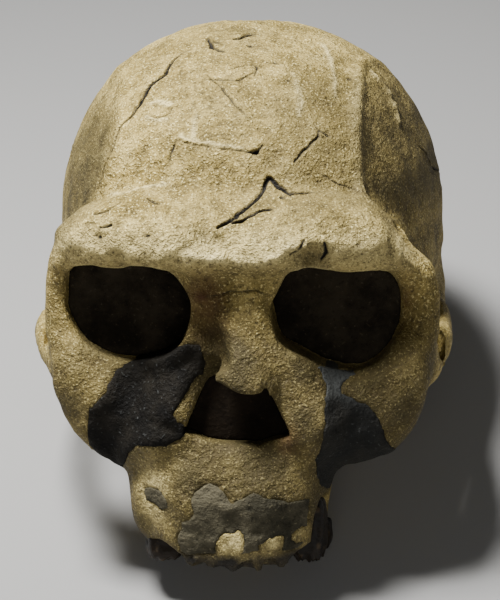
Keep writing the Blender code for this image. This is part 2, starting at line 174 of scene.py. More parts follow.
def bar(p, points, height=1.0, smooth=True):
    """A round bar along (x, y, z, radius): distance to the nearest span, less its radius there."""
    path = curve_through(points) if smooth else np.array(points, float)
    nearest = np.full(np.shape(p[0]), 1e9)
    for a, b in zip(path[:-1], path[1:]):
        along = (b - a)[:3] / (1, 1, height)
        rel = [p[0] - a[0], p[1] - a[1], (p[2] - a[2]) / height]
        t = np.clip(sum(rel[i] * along[i] for i in range(3)) / (along @ along), 0, 1)
        away = np.sqrt(sum((rel[i] - along[i] * t) ** 2 for i in range(3)))
        nearest = np.minimum(nearest, away - a[3] - (b[3] - a[3]) * t)
    return nearest


def distance_to(p, points, smooth=True):
    """Distance to a curve of (x, y, z)."""
    return bar(p, [(*point, 0.0) for point in points], smooth=smooth)


# %% [markdown]
# ## Lumps
# Bone that lay in the ground is never smooth. Value noise gives it lumps: a lattice of repeatable
# random numbers, blended smoothly between its corners. Three sizes of it, added up, read as worn bone.

# %% Value noise


def lattice(i, j, k, seed):
    """A repeatable number from -1 to 1 for each lattice corner, from whole-number mixing."""
    n = (i * 73856093) ^ (j * 19349663) ^ (k * 83492791) ^ (seed * 2654435)
    n = (n ^ (n >> 13)) * 1274126177
    return (((n ^ (n >> 16)) & 0xFFFF) / 32767.5) - 1


def lumps(p, size, seed):
    """Value noise with lumps about that many millimetres apart."""
    q = [np.asarray(c) / size + 500 for c in p]
    low = [np.floor(c).astype(np.int64) for c in q]
    f = [(c - b) for c, b in zip(q, low)]
    f = [t * t * (3 - 2 * t) for t in f]
    total = 0
    for a in (0, 1):
        for b in (0, 1):
            for c in (0, 1):
                weight = (f[0] if a else 1 - f[0]) * (f[1] if b else 1 - f[1]) * (f[2] if c else 1 - f[2])
                total = total + weight * lattice(low[0] + a, low[1] + b, low[2] + c, seed)
    return total


# %% [markdown]
# ## Braincase
# Seen from the side the braincase is a long oval, highest a little behind the middle. Its outline is
# a handful of points in the usual form of such skulls, turned into smooth waves round the oval. Each
# cross-section is a superellipse, so the roof can be round while the sides stay flat.

# %% Braincase
BRAINCASE_MIDDLE = (8.0, 30.0)
BRAINCASE_HALF_WIDTHS = {"right": 62.5, "left": 64.5}
MIDDLE_LINE = (
    (-86, 40, 2.6), (-84, 52, 2.6), (-75, 69, 2.5), (-57, 84, 2.4), (-30, 94, 2.3), (2, 99, 2.25),
    (36, 91, 2.25), (61, 72, 2.3), (76, 46, 2.4), (80, 20, 2.6), (70, -3, 2.9), (45, -20, 2.9),
    (12, -25, 2.8), (-25, -12, 2.6), (-55, 5, 2.4), (-78, 25, 2.5),
)


def waves(angle, count):
    """1, cos k a and sin k a, side by side."""
    both = [turn(k * angle) for k in range(1, count + 1) for turn in (np.cos, np.sin)]
    return np.stack([np.ones_like(angle)] + both, -1)


def fit_middle_line():
    """Reach and squareness for each angle round the middle, by least squares on the waves."""
    line = np.array(MIDDLE_LINE, float)
    up, back = line[:, 1] - BRAINCASE_MIDDLE[1], line[:, 0] - BRAINCASE_MIDDLE[0]
    angle = np.arctan2(up, -back)
    table = np.linspace(-np.pi, np.pi, 721)
    reach = np.linalg.lstsq(waves(angle, 6), np.hypot(up, back), rcond=None)[0]
    square = np.linalg.lstsq(waves(angle, 3), line[:, 2], rcond=None)[0]
    return table, waves(table, 6) @ reach, waves(table, 3) @ square


ANGLES, REACH, SQUARENESS = fit_middle_line()


def braincase(p):
    """(|x| / half width)^n + (r / reach)^n = 1, where reach and n depend on the angle seen from the side."""
    y, z = p[1] - BRAINCASE_MIDDLE[0], p[2] - BRAINCASE_MIDDLE[1]
    here = np.arctan2(z, -y)
    reach, power = np.interp(here, ANGLES, REACH), np.interp(here, ANGLES, SQUARENESS)
    half_width = np.where(p[0] < 0, BRAINCASE_HALF_WIDTHS["right"], BRAINCASE_HALF_WIDTHS["left"])
    size = ((np.abs(p[0]) / half_width) ** power + (np.hypot(y, z) / reach) ** power) ** (1 / power)
    return np.sqrt(p[0] ** 2 + y**2 + z**2) * (1 - 1 / np.maximum(size, 0.02))


# %% [markdown]
# ## Face
# The face hangs from a bar of bone over the eyes. From its ends a pillar goes down each side to the
# cheekbone, and from there the arch runs back to the ear. Bars with changing thickness make all of
# these. The upper jaw is a rounded block whose width and depth change with height.

# %% Bars and blocks of the face
BROW = ((0, -95, 33.5, 6.6), (10, -96.8, 34.2, 6.8), (22, -96.5, 36, 6.7), (35, -93, 36, 6.4),
        (45, -87.5, 33.5, 6.0), (51.5, -80, 27.5, 5.4))
BROW_SLOPE = ((0, -87, 39, 7.5), (16, -87.5, 41.5, 7.5), (31, -84, 41.5, 7.0), (42, -77, 38, 5.5))
OUTER_PILLAR = ((51.5, -80, 28, 5.4), (53.6, -78, 18, 5.0), (53.4, -79, 7, 5.2), (48, -82, -3, 6.0))
SIDE_OF_NOSE = ((10, -89, 30, 5.5), (12, -90, 14, 6.0), (17, -90, -2, 8.0), (22, -90, -18, 9.0))
ARCH = ((53.5, -75, -2, 5.6), (59.3, -62, 0.5, 4.3), (62.3, -48, 1.5, 3.6), (63.5, -32, 2, 3.3),
        (62.5, -15, 3, 3.6), (60, 0, 4, 5.5))
ARCH_HEIGHT = 1.55
EAR_REGION = ((54.5, 12, 4, 10.5), (54.5, 8, -20, 6.5))
EAR_CREST = ((59, 0, 6, 4.5), (60.5, 18, 12, 4), (59, 36, 20, 2.5))
NECK_CREST = ((0, 78, 13, 5), (26, 72, 13, 5), (46, 56, 12, 4))
NOSE_BONES = ((0, -89.5, 29, 5.0), (0.5, -91.5, 19, 4.4), (1.2, -95, 8, 4.6), (1.8, -98, 1, 5.0),
              (2, -99.5, -6, 5.0))
NOSE_FLATNESS = 1.6
WIDER_LEFT = 1.5
JAW_MIDDLE = (-0.9, -68.0)
JAW_SQUARENESS = 2.5
FRONT_SOCKETS = ((-15, -91.5), (-9, -96.5), (-3, -98.5), (4, -98.5), (10.5, -96), (16.5, -91))
JAW_LEVELS = ((-61, 26, 32), (-52, 28, 34.5), (-40, 30, 35.5), (-32, 32, 33), (-24, 36, 29.5),
              (-15, 39, 27), (-4, 40, 22), (8, 30, 18))


def upper_jaw(p):
    """A superellipse in x and y, whose two half sizes follow JAW_LEVELS, rounded off above and below."""
    levels = np.array(JAW_LEVELS, float)
    wide = np.interp(p[2], levels[:, 0], levels[:, 1])
    deep = np.interp(p[2], levels[:, 0], levels[:, 2])
    x, y = p[0] - JAW_MIDDLE[0], p[1] - JAW_MIDDLE[1]
    size = (np.abs(x / wide) ** JAW_SQUARENESS + np.abs(y / deep) ** JAW_SQUARENESS) ** (1 / JAW_SQUARENESS)
    block = (size - 1) * np.minimum(wide, deep) * 0.9
    block = common(block, p[1] + 46, 4)
    block = common(block, JAW_LEVELS[0][0] - p[2], 3)
    return common(block, p[2] - 6, 6)


def face_side(p):
    """The face mirrored onto one side; its left is wider than its right by twice WIDER_LEFT."""
    x = np.abs(p[0])
    lean = WIDER_LEFT * np.where(p[0] < 0, 1, -1) * ramp(x, 10, 45) * ramp(-p[1], 45, 72)
    return [x + lean, p[1], p[2]]


def with_face(f, p, q):
    """Joins the masses of the face to the braincase, from the eyes down to the tooth row."""
    f = join(f, egg(q, (0, -80, 16), (14, 14, 20)), 6)  # between the eyes
    f = join(f, egg(q, (26, -62, 14), (21, 26, 22)), 6)  # round each eye socket
    f = join(f, egg(q, (49, -71, 14), (11, 6, 19), yaw=-48), 5)  # outer wall of the socket
    f = join(f, egg(q, (27, -84, 38.5), (29, 15, 7)), 6)  # over each eye
    f = join(f, bar(q, BROW_SLOPE), 9)
    f = join(f, bar(q, BROW), 9)
    f = join(f, bar(q, OUTER_PILLAR), 4)
    f = join(f, upper_jaw(p), 6)
    f = join(f, egg(q, (43.5, -79.5, -9), (13, 8, 17), yaw=-28, roll=-18), 6)  # cheekbone
    f = join(f, egg(q, (32, -80, -16), (17, 12, 17)), 7)  # cheek, towards the jaw
    f = join(f, bar(q, SIDE_OF_NOSE), 7)
    return join(f, bar([p[0] / NOSE_FLATNESS, p[1], p[2]], NOSE_BONES), 5)


def with_arches_and_base(f, p, q):
    """Joins the arches, the ear regions and the masses under the braincase."""
    f = join(f, bar(q, ARCH, height=ARCH_HEIGHT), 3)
    f = join(f, egg(p, (61.8, -57, 2.5), (3.4, 7, 4.6), roll=-20), 1.2)  # flared tip of the left arch
    f = join(f, egg(p, (-27.5, -80, -43), (4.5, 11, 11)), 4)  # swelling on the right of the jaw
    f = join(f, bar(q, EAR_REGION), 6)
    f = join(f, bar(q, EAR_CREST), 6)
    f = join(f, bar(q, NECK_CREST), 7)
    f = join(f, egg(q, (0, -22, -14), (13, 26, 9)), 6)  # middle of the base
    f = join(f, egg(q, (13, 5, -21), (5, 10, 5), yaw=20), 3)  # where the spine met the skull
    return join(f, egg(q, (13, -44, -26), (3.5, 8, 18), pitch=-10), 4)  # blades behind the palate


def without_broken_places(f, p):
    """Cuts what is broken off or chipped: these differ between the sides."""
    f = cut(f, egg(p, (-21.5, -93, -61.5), (8.5, 13, 8)), 1.5)  # right end of the tooth row
    f = cut(f, egg(p, (22.5, -92, -61), (6.5, 12, 6.5)), 1.5)  # left end, below
    f = cut(f, egg(p, (29, -84, -51), (7.5, 8.5, 11)), 1.5)  # left end, outside
    f = cut(f, egg(p, (23.5, -104.5, 33.0), (5.5, 5.5, 4.5), roll=-12), 1.5)  # notch over the left eye
    f = cut(f, egg(p, (56.1, -92, 40.3), (9, 15, 15), roll=32), 3)  # left end of the brow
    f = cut(f, egg(p, (60.6, -65, 2.5), (2.3, 8, 5.8), roll=8), 0.8)  # slit in the left arch
    f = cut(f, egg(p, (-58.6, -63, 4.5), (1.7, 12, 4.8), roll=-6), 0.8)  # slit in the right arch
    f = cut(f, egg(p, (-6.2, -99.5, 10), (3.2, 5.5, 11), roll=25), 3)  # hollow beside the nose bones
    for x, y in FRONT_SOCKETS:
        f = cut(f, egg(p, (x, y, -62), (2.7, 3.4, 6.5)), 0.8)
    return f


def without_hollows(f, q):
    """Cuts the natural hollows of the base, which are alike on both sides."""
    f = cut(f, egg(q, (0, -66, -64), (19, 29, 15)), 2.5)  # palate
    f = cut(f, egg(q, (6.5, -41, -22), (5.5, 14, 9)), 2)  # back of the nose
    f = cut(f, egg(q, (0, 22, -22), (14, 17, 30)), 3)  # opening for the neck
    f = cut(f, egg(q, (50, -13, -7), (11, 8, 6)), 4)  # seat of the jaw joint
    return cut(f, egg(q, (66, 3, -3), (9, 5.5, 5.5)), 3)  # ear opening


def plain_bone(p):
    """The cranium before its openings, pockets and surface detail."""
    q = face_side(p)
    f = with_arches_and_base(with_face(braincase(p), p, q), p, q)
    return without_hollows(without_broken_places(f, p), q)


# %% [markdown]
# ## Outlines of the openings and the mended places
# Seen from the front, sediment and filler are flat areas, so each is an outline in (x, z) taken
# straight back. Their broken edges are irregular, and these corners follow them.

# %% Outlines seen from the front
NOSE_OUTLINE = ((-14, -19), (-13, -16), (-11, -11), (-8, -4.5), (-6, -3), (-3.5, -3.5), (-0.5, -5),
                (3.5, -6.5), (8, -6.5), (10, -4.5), (11, -7), (14, -13.5), (17, -20), (13.5, -21),
                (7, -23), (-1.5, -23), (-8, -22))
RIGHT_CHEEK_OUTLINE = ((-35.5, -2), (-30, 0), (-20.5, 4), (-13.5, 7.5), (-9.5, 6.5), (-8, 1.5),
                       (-9, -2), (-10.5, -2.5), (-14, -8), (-17.5, -13.5), (-14.5, -16.5),
                       (-13.5, -19), (-15.5, -21.5), (-20, -23), (-24.5, -23.5), (-29, -24.5),
                       (-31, -27), (-34, -34), (-40, -33), (-44, -26), (-44, -22.5), (-44, -18),
                       (-43.5, -14.5), (-38, -8.5))
LEFT_CHEEK_OUTLINE = ((25, 0), (30, -1.5), (36.5, -2.5), (35.5, -4), (32, -5.5), (32, -8), (35, -10),
                      (39.5, -11.5), (43, -15.5), (45, -22.5), (50, -30), (42, -36), (33, -40),
                      (28.5, -40), (25, -36), (24, -27.5), (26.5, -20.5), (27, -14.5), (27, -5))
TOOTH_ROW_OUTLINE = ((-16, -50), (-15, -46), (-11, -42.5), (-12, -38), (-9.5, -35.5), (-6.5, -33),
                     (-2.5, -36), (0, -39), (3.5, -37.5), (6.5, -36), (11, -38), (22.5, -39.5),
                     (22.5, -53), (17.5, -54.5), (5.5, -54), (-15.5, -55.5))
SOCKET_OUTLINE = ((-26.5, -38), (-24.5, -37), (-21.5, -37.5), (-19.8, -39.5), (-19.3, -42), (-21, -42.8),
                  (-23.5, -41.3), (-26.2, -41))
EYE_OUTLINES = {
    "right": ((-50.4, 26), (-44, 29.4), (-34.8, 28.4), (-26.8, 30.2), (-20.2, 28.8), (-16.0, 25.3),
              (-12.9, 20.2), (-12.5, 15.7), (-14, 9.6), (-16.2, 6), (-22, 2.2), (-31.8, 0), (-39.9, 1.8),
              (-45.8, 5.6), (-49.6, 12), (-51.2, 18)),
    "left": ((10.6, 16.8), (12.9, 22.3), (16.2, 28.0), (21.8, 30.2), (26.5, 29.6), (30.1, 28.4),
             (34.5, 27.9), (39.2, 28.7), (43.9, 27.4), (47.8, 24.4), (49.4, 19.5), (49.1, 13),
             (47.6, 7.9), (44.6, 3.0), (40.4, -0.4), (36.7, -1.9), (30.3, -1.1), (25, 0.6),
             (19.8, 3.4), (14.9, 6.1), (12.1, 10.2)),
}
EYE_MIDDLES = {"right": (-31.5, 15.0), "left": (29.8, 14.3)}
EYE_RIM, EYE_FRONT, EYE_BACK, EYE_BACK_SHARE = -79.5, -79.0, -66.0, 0.78
BONE_ISLANDS = (  # x, z, radius of the bone that shows through the filler
    (-0.6, -52.3, 3.9), (1.6, -50.5, 2.4), (11.2, -53.4, 3.2), (12.6, -51.4, 2.0), (19.6, -50, 1.9),
    (5.6, -57, 3.0),
)
NOSE_FRONT, NOSE_BACK = -91.0, -78.0
CHEEK_BACK, TOOTH_ROW_BACK, SOCKET_BACK = -76.0, -93.0, -86.0


def rounded(outline, per_span=4):
    """The closed outline as a smooth curve through its corners."""
    around = outline[-1:] + outline + outline[:1]
    return tuple(map(tuple, curve_through(around, per_span)[per_span:-per_span - 1]))


EYE_OUTLINES = {side: rounded(outline) for side, outline in EYE_OUTLINES.items()}


def inside_outline(x, z, outline):
    """Distance to the nearest edge, negative inside: where a line out crosses an odd number of edges."""
    points = np.array(outline, float)
    nearest, odd = np.full(np.shape(x), 1e9), np.zeros(np.shape(x), bool)
    for (ax, az), (bx, bz) in zip(points, np.roll(points, -1, 0)):
        ex, ez = bx - ax, bz - az
        t = np.clip(((x - ax) * ex + (z - az) * ez) / (ex * ex + ez * ez), 0, 1)
        nearest = np.minimum(nearest, (x - ax - ex * t) ** 2 + (z - az - ez * t) ** 2)
        if az != bz:
            odd ^= ((az <= z) != (bz <= z)) & (x < ax + (z - az) * ex / ez)
    return np.where(odd, -1, 1) * np.sqrt(nearest)


def ragged(x, z, outline, amount=0.45):
    """The outline with an irregular, broken edge."""
    wander = lumps([x, z, 0 * x], 3.2, 5) + 0.6 * lumps([x, z, 0 * x], 1.3, 6)
    edge = inside_outline(x, z, outline)
    if outline is TOOTH_ROW_OUTLINE:
        for island_x, island_z, radius in BONE_ISLANDS:
            uneven = radius + 0.8 * lumps([x, z, 0 * x], 2.0, 8)
            edge = np.maximum(edge, uneven - np.hypot(x - island_x, z - island_z))
    return edge + amount * wander


def eye_socket(p, side, grow=0.0):
    """The outline, rounded, that narrows about its middle towards the back."""
    middle_x, middle_z = EYE_MIDDLES[side]
    depth = np.clip((p[1] - EYE_RIM) / (EYE_BACK - EYE_RIM), 0, 1)
    share = 1 + (EYE_BACK_SHARE - 1) * depth
    x, z = middle_x + (p[0] - middle_x) / share, middle_z + (p[2] - middle_z) / share
    return inside_outline(x, z, EYE_OUTLINES[side]) * share + 0.25 * lumps(p, 3.0, 7) - grow


# %% [markdown]
# ## Ridges, hollows and lumps
# Ridges mark where the jaw muscles were fixed, and beyond them the temple is sunk. A ridge adds a
# rounded rise to the field, falling off as exp(-(distance / width)^2). The brow is the roughest part,
# so its lumps are higher, and so are those of a few worn places.

# %% Relief of the surface
RIDGES = {  # path, height, width
    "muscle line left": (((52.5, -81, 28), (48.5, -85, 34.5), (44, -85, 40.5), (40, -82, 46),
                          (36.8, -76, 51.5), (35.5, -71, 58), (35.5, -65, 68), (36, -48, 79),
                          (38, -25, 87), (45, 10, 82)), 1.7, 2.0),
    "muscle line right": (((-50, -88, 40), (-44, -80, 46), (-41, -72, 55), (-37, -67, 64), (-37, -52, 76),
                           (-40, -25, 84), (-46, 12, 80)), 1.0, 3.4),
    "crown crust": (((-4, -14, 98), (6, -8, 99)), 1.0, 7.0),
}
TEMPLE_LINE = {"right": ((30, 54), (46, 44), (55, 41), (64, 37), (76, 37), (90, 40)),
               "left": ((24, 56.5), (31, 52), (37, 47), (42, 42.5), (48, 38), (56, 35), (68, 35), (90, 38))}
TEMPLE_DEPTH = {"right": 1.8, "left": 2.8}
ROUGH_PLACES = (  # x, y, z, radius, height of the lumps
    (0, -18, 97, 11, 1.2), (22, -102, 36, 9, 0.7), (0, -99, 34, 12, 0.35), (46, -40, 76, 8, 0.5),
    (-48, -84, 34, 8, 0.4), (2, -97, -54, 14, 0.5),
)


def temple_hollow(p):
    """How far the temple is sunk: from nothing on the muscle line to its depth 6 mm beyond it."""
    sunk = 0
    for side, here in (("right", p[0] < 0), ("left", p[0] >= 0)):
        height, across = np.array(TEMPLE_LINE[side], float).T
        beyond = np.abs(p[0]) - np.interp(p[2], height, across)
        sunk = sunk + here * TEMPLE_DEPTH[side] * ramp(beyond, 0, 6)
    return sunk * ramp(-p[1], 0, 45) * ramp(p[2], 20, 36) * ramp(-p[2], -88, -62)


def relief(p):
    """How far the surface stands out from the plain bone, in millimetres."""
    rise = 0
    for path, height, width in RIDGES.values():
        rise = rise + height * np.exp(-((distance_to(p, path) / width) ** 2))
    rise = rise * ramp(-p[1], -25, 35) - temple_hollow(p)
    brow = np.exp(-((p[2] - 34) / 12) ** 2) * ramp(-p[1], 80, 92)
    rise = rise + (0.40 + 0.5 * brow) * lumps(p, 9.0, 1) + (0.26 + 0.45 * brow) * lumps(p, 4.2, 2)
    coarse = 0.15 + 0.30 * brow
    for x, y, z, radius, height in ROUGH_PLACES:
        coarse = coarse + height * np.exp(-((p[0] - x) ** 2 + (p[1] - y) ** 2 + (p[2] - z) ** 2) / radius**2)
    return rise + coarse * lumps(p, 2.4, 3)


def above_ground(p):
    """Negative above the floor: the height in the world, turned back into the skull's frame."""
    _, height = turned(p[1], p[2], REST_TILT)
    return -(height + REST_SHIFT[2])


# %% [markdown]
# ## Finding the surface
# The field is sampled on a grid that is fine over the face and coarser at the back. A first, coarse
# pass says where the surface is near, so that the costly formulas run only there. Then each grid
# cell that the surface crosses gets one point, and each crossed grid edge a four-sided face.

# %% Surface of a field


CORNERS = np.array([(i, j, k) for i in (0, 1) for j in (0, 1) for k in (0, 1)])
CELL_EDGES = [(a, b) for a in range(8) for b in range(a + 1, 8)
              if np.abs(CORNERS[a] - CORNERS[b]).sum() == 1]
PINCH_PASSES, JUST_INSIDE = 30, -0.01


def block(array, start, size):
    """The part of the array of that size that begins at start."""
    return array[tuple(slice(o, o + n) for o, n in zip(start, size))]


def without_pinches(values):
    """Fills the weakest outside corner wherever the shape would meet itself only along an edge."""
    u, v, w = np.eye(3, dtype=int)
    for _ in range(PINCH_PASSES):
        for corners in ((0 * u, u, v, u + v), (0 * u, u, w, u + w), (0 * u, v, w, v + w)):
            size = np.array(values.shape) - corners[3]
            a, b, c, d = (block(values, at, size) < 0 for at in corners)
            cells = np.argwhere((a == d) & (b == c) & (a != b))
            places = cells[:, None] + np.array(corners)[None]
            held = values[tuple(np.moveaxis(places, -1, 0))]
            weakest = np.argmin(np.where(held < 0, np.inf, held), 1)
            values[tuple(places[np.arange(len(cells)), weakest].T)] = JUST_INSIDE
    return values


def quads_across(inside, number, axis):
    """A quad, facing out, for each grid edge along this axis that goes through the surface."""
    inside, number = np.moveaxis(inside, axis, 0), np.moveaxis(number, axis, 0)
    i, j, k = np.nonzero(inside[:-1, 1:-1, 1:-1] != inside[1:, 1:-1, 1:-1])
    quad = np.stack([number[i, j, k], number[i, j + 1, k], number[i, j + 1, k + 1], number[i, j, k + 1]], 1)
    starts_inside = inside[i, j + 1, k + 1] != (axis == 1)
    return np.where(starts_inside[:, None], quad, quad[:, ::-1])


def sample(field, axes, coarse=4, margin=4.0):
    """The field on the grid, worked out fully only near the surface and by interpolation elsewhere."""
    rough_axes = [np.append(axis[:-1:coarse], axis[-1]) for axis in axes]
    values = field(np.meshgrid(*rough_axes, indexing="ij"))
    for i, (fine, rough) in enumerate(zip(axes, rough_axes)):
        place = np.clip(np.searchsorted(rough, fine, "right") - 1, 0, len(rough) - 2)
        t = (fine - rough[place]) / (rough[place + 1] - rough[place])
        shape = [1, 1, 1]
        shape[i] = -1
        t = t.reshape(shape)
        values = np.take(values, place, i) * (1 - t) + np.take(values, place + 1, i) * t
    near = np.nonzero(np.abs(values) < margin)
    values[near] = field([axis[n] for axis, n in zip(axes, near)])
    return values


def surface_of(field, axes):
    """(points, quads) where the field is zero: in each crossed cell, the mean of its edge crossings."""
    values = without_pinches(sample(field, axes))
    inside = values < 0
    size = np.array(values.shape) - 1
    count = sum(block(inside, corner, size).astype(np.int8) for corner in CORNERS)
    crossed = (count > 0) & (count < 8)
    cells = np.argwhere(crossed)
    at_corner = np.stack([values[tuple((cells + corner).T)] for corner in CORNERS], 1)
    middle, crossings = np.zeros((len(cells), 3)), np.zeros((len(cells), 1))
    for a, b in CELL_EDGES:
        va, vb = at_corner[:, a:a + 1], at_corner[:, b:b + 1]
        hit = (va < 0) != (vb < 0)
        middle += hit * (CORNERS[a] + (CORNERS[b] - CORNERS[a]) * va / np.where(hit, va - vb, 1))
        crossings += hit
    number = np.full(crossed.shape, -1)
    number[crossed] = np.arange(len(cells))
    place = cells + middle / crossings
    points = np.stack([np.interp(place[:, i], np.arange(len(axes[i])), axes[i]) for i in range(3)], 1)
    return points, np.concatenate([quads_across(inside, number, axis) for axis in range(3)])


def even_axes(low, high, step):
    return [np.arange(a, b + step, step) for a, b in zip(low, high)]


# %% [markdown]
# ## Materials as expressions
# A shader is a formula, so it is written as one. This class wraps a node's output and lets it be
# added, multiplied and mixed like a number.

# %% A small language for shader nodes


class Socket:
    """An output of a shader node that takes part in arithmetic."""

    def __init__(self, tree, out):
        self.tree, self.out = tree, out

    def node(self, kind, **inputs):
        """A node of that type. Inputs are named in lower case with _ for spaces, or _0, _1 by position."""
        return build_node(self.tree, kind, {}, inputs)

    def _math(self, operation, *values):
        return build_node(self.tree, "ShaderNodeMath", {"operation": operation},
                          {f"_{i}": v for i, v in enumerate(values)})[0]

    def __add__(self, other):
        return self._math("ADD", self, other)

    def __radd__(self, other):
        return self._math("ADD", other, self)

    def __sub__(self, other):
        return self._math("SUBTRACT", self, other)

    def __rsub__(self, other):
        return self._math("SUBTRACT", other, self)

    def __mul__(self, other):
        return self._math("MULTIPLY", self, other)

    def __rmul__(self, other):
        return self._math("MULTIPLY", other, self)

    def clamp(self):
        return self._math("MINIMUM", self._math("MAXIMUM", self, 0.0), 1.0)

    def ramp(self, start, end):
        """0 below start and 1 above end, smooth between."""
        return build_node(self.tree, "ShaderNodeMapRange", {"interpolation_type": "SMOOTHSTEP"},
                          {"value": self, "from_min": start, "from_max": end})[0]

    def mix(self, low, high):
        """The colour low where this is 0 and high where it is 1."""
        return build_node(self.tree, "ShaderNodeMix", {"data_type": "RGBA", "clamp_factor": True},
                          {"_0": self, "_6": low, "_7": high})[2]


def build_node(tree, kind, settings, inputs):
    """Adds a node, sets or links its inputs, and returns all its outputs."""
    node = tree.nodes.new(kind)
    for key, value in settings.items():
        setattr(node, key, value)
    for key, value in inputs.items():
        socket = node.inputs[int(key[1:]) if key[1:].isdigit() else key.replace("_", " ").title()]
        if isinstance(value, Socket):
            tree.links.new(value.out, socket)
        elif isinstance(value, tuple) and socket.type == "RGBA":
            socket.default_value = (*value[:3], 1.0)
        else:
            socket.default_value = value
    return [Socket(tree, out) for out in node.outputs]


def start_material(name):
    """(tree, place, shader): a new material, the Object coordinates in it, and its Principled shader."""
    made = bpy.data.materials.new(name)
    made.use_nodes = True
    tree = made.node_tree
    place = build_node(tree, "ShaderNodeTexCoord", {}, {})[3]
    return made, tree, place, tree.nodes["Principled BSDF"]


def noise(place, scale, detail, rough):
    """Fractal noise about scale features to the metre, from 0 to 1."""
    return place.node("ShaderNodeTexNoise", vector=place, scale=scale, detail=detail, roughness=rough)[0]


def grains(place, scale):
    """Distance to the nearest of many scattered points, in cells."""
    return place.node("ShaderNodeTexVoronoi", vector=place, scale=scale)[0]


def attribute(tree, name):
    return build_node(tree, "ShaderNodeAttribute", {"attribute_name": name}, {})[2]


def bump(height, strength, distance, normal=None):
    extra = {"normal": normal} if normal else {}
    return height.node("ShaderNodeBump", height=height, strength=strength, distance=distance, **extra)[0]


def finish_material(tree, shader, colour, rough, normal, **constants):
    for socket, value in (("Base Color", colour), ("Roughness", rough), ("Normal", normal)):
        tree.links.new(value.out, shader.inputs[socket])
    for name, value in constants.items():
        shader.inputs[name.replace("_", " ")].default_value = value


# %% [markdown]
# ## Old bone
# The bone is mineralised: buff where it was rubbed, olive and brown where soil stained it, and
# speckled with dark grains and pale grains, which are painted bright as if lit. Its surface is as
# rough as sandstone. Two scales of noise give the tones and two finer ones the speckle. Masks stored
# on the mesh add the dirt in cracks, rust, pale wear with painted highlights on the brow's edge, a
# ridge and the socket rims, painted shade in the low places between lumps, and the olive stain, which
# also paints shade beside the nose, under the brow, on the lower face, the temples and the forehead.
# Where that mask is strong, bright grains are rare and the grain is lower.

# %% Bone material


# Some of these tones stand for painted light and shade; the layers in the bone material say which.
TONES = {
    "brown": (0.270, 0.196, 0.045), "buff": (0.480, 0.358, 0.105), "rubbed": (0.650, 0.500, 0.170),
    "stained": (0.120, 0.083, 0.015), "pale wear and painted highlight": (0.950, 0.780, 0.350), "olive_and_painted_shade": (0.033, 0.0245, 0.0042),
    "shaded": (0.075, 0.052, 0.012), "dark grain": (0.060, 0.041, 0.009), "pale grain and painted glint": (0.950, 0.790, 0.340),
    "dark speck": (0.040, 0.027, 0.007), "rust": (0.085, 0.036, 0.009), "dirt": (0.012, 0.009, 0.005),
}
BONE_MASKS = ("dirt", "rust", "pale", "low", "olive_and_painted_shade")


def bone_material():
    made, tree, place, shader = start_material("old_bone")
    dirt, rust, pale, low, olive_and_painted_shade = (attribute(tree, name) for name in BONE_MASKS)
    wide = noise(place, 28, 5, 0.6)
    middle = noise(place, 120, 5, 0.62)
    fine = noise(place, 560, 4, 0.65)
    speck = noise(place, 1500, 2, 0.6)
    quiet = 1.0 - olive_and_painted_shade * 0.84
    colour = wide.ramp(0.36, 0.64).mix(TONES["brown"], TONES["buff"])
    # Painted light in these layers: the shaded one is painted shade, the olive one partly painted shade,
    # the chalky one partly painted highlight, and the glint one pale grains painted as bright highlights.
    layers = (
        (middle.ramp(0.46, 0.66) * 0.60, "rubbed"), (middle.ramp(0.52, 0.34) * 0.50, "stained"),
        ((pale * 0.50).clamp(), "pale wear and painted highlight"), ((olive_and_painted_shade * 0.94).clamp(), "olive_and_painted_shade"),
        ((low * 0.40).clamp(), "shaded"), (fine.ramp(0.50, 0.36) * 0.55, "dark grain"),
        (speck.ramp(0.57, 0.68) * 0.85 * quiet, "pale grain and painted glint"), (speck.ramp(0.43, 0.32) * 0.60, "dark speck"),
        ((rust * 0.85).clamp(), "rust"), (dirt.clamp(), "dirt"),
    )
    for share, tone in layers:
        colour = share.mix(colour, TONES[tone])
    rough = 0.58 + 0.3 * fine
    height = (fine * 0.9 + speck * 0.5 - grains(place, 1250) * 0.12) * (quiet * 0.55 + 0.45)
    normal = bump(middle, 0.8, 0.0030, bump(height, 1.0, 0.0017))
    finish_material(tree, shader, colour, rough, normal, Specular_IOR_Level=0.35)
    return made


# %% [markdown]
# ## Sediment, filler and enamel
# The sediment in the sockets is almost black and matt. The filler in the cheeks is charcoal, and
# lighter over the tooth row. The teeth are dark brown and still a little glossy.

# %% Materials of the other pieces


def plain_fill_material(name, dark, light, fleck, rough_range, grain_height, gloss=0.2):
    """Two tones in soft patches, with sparse flecks and a fine grain."""
    made, tree, place, shader = start_material(name)
    painted_light_and_chips = attribute(tree, "painted_light_and_chips")
    patches = noise(place, 90, 5, 0.6)
    fine = noise(place, 900, 3, 0.6)
    colour = patches.ramp(0.36, 0.64).mix(dark, light)
    # The tint mask blends towards the fleck colour: painted light on the left cheek filler's top, chips on
    # teeth.
    colour = (painted_light_and_chips * 0.85).clamp().mix(colour, fleck)
    colour = (fine.ramp(0.60, 0.74) * 0.45).mix(colour, fleck)
    colour = (fine.ramp(0.42, 0.30) * 0.5).mix(colour, tuple(0.4 * c for c in dark))
    low, high = rough_range
    rough = low + (high - low) * fine
    normal = bump(patches * 0.6 + fine * 0.5, 0.7, grain_height)
    finish_material(tree, shader, colour, rough, normal, Specular_IOR_Level=gloss)
    return made


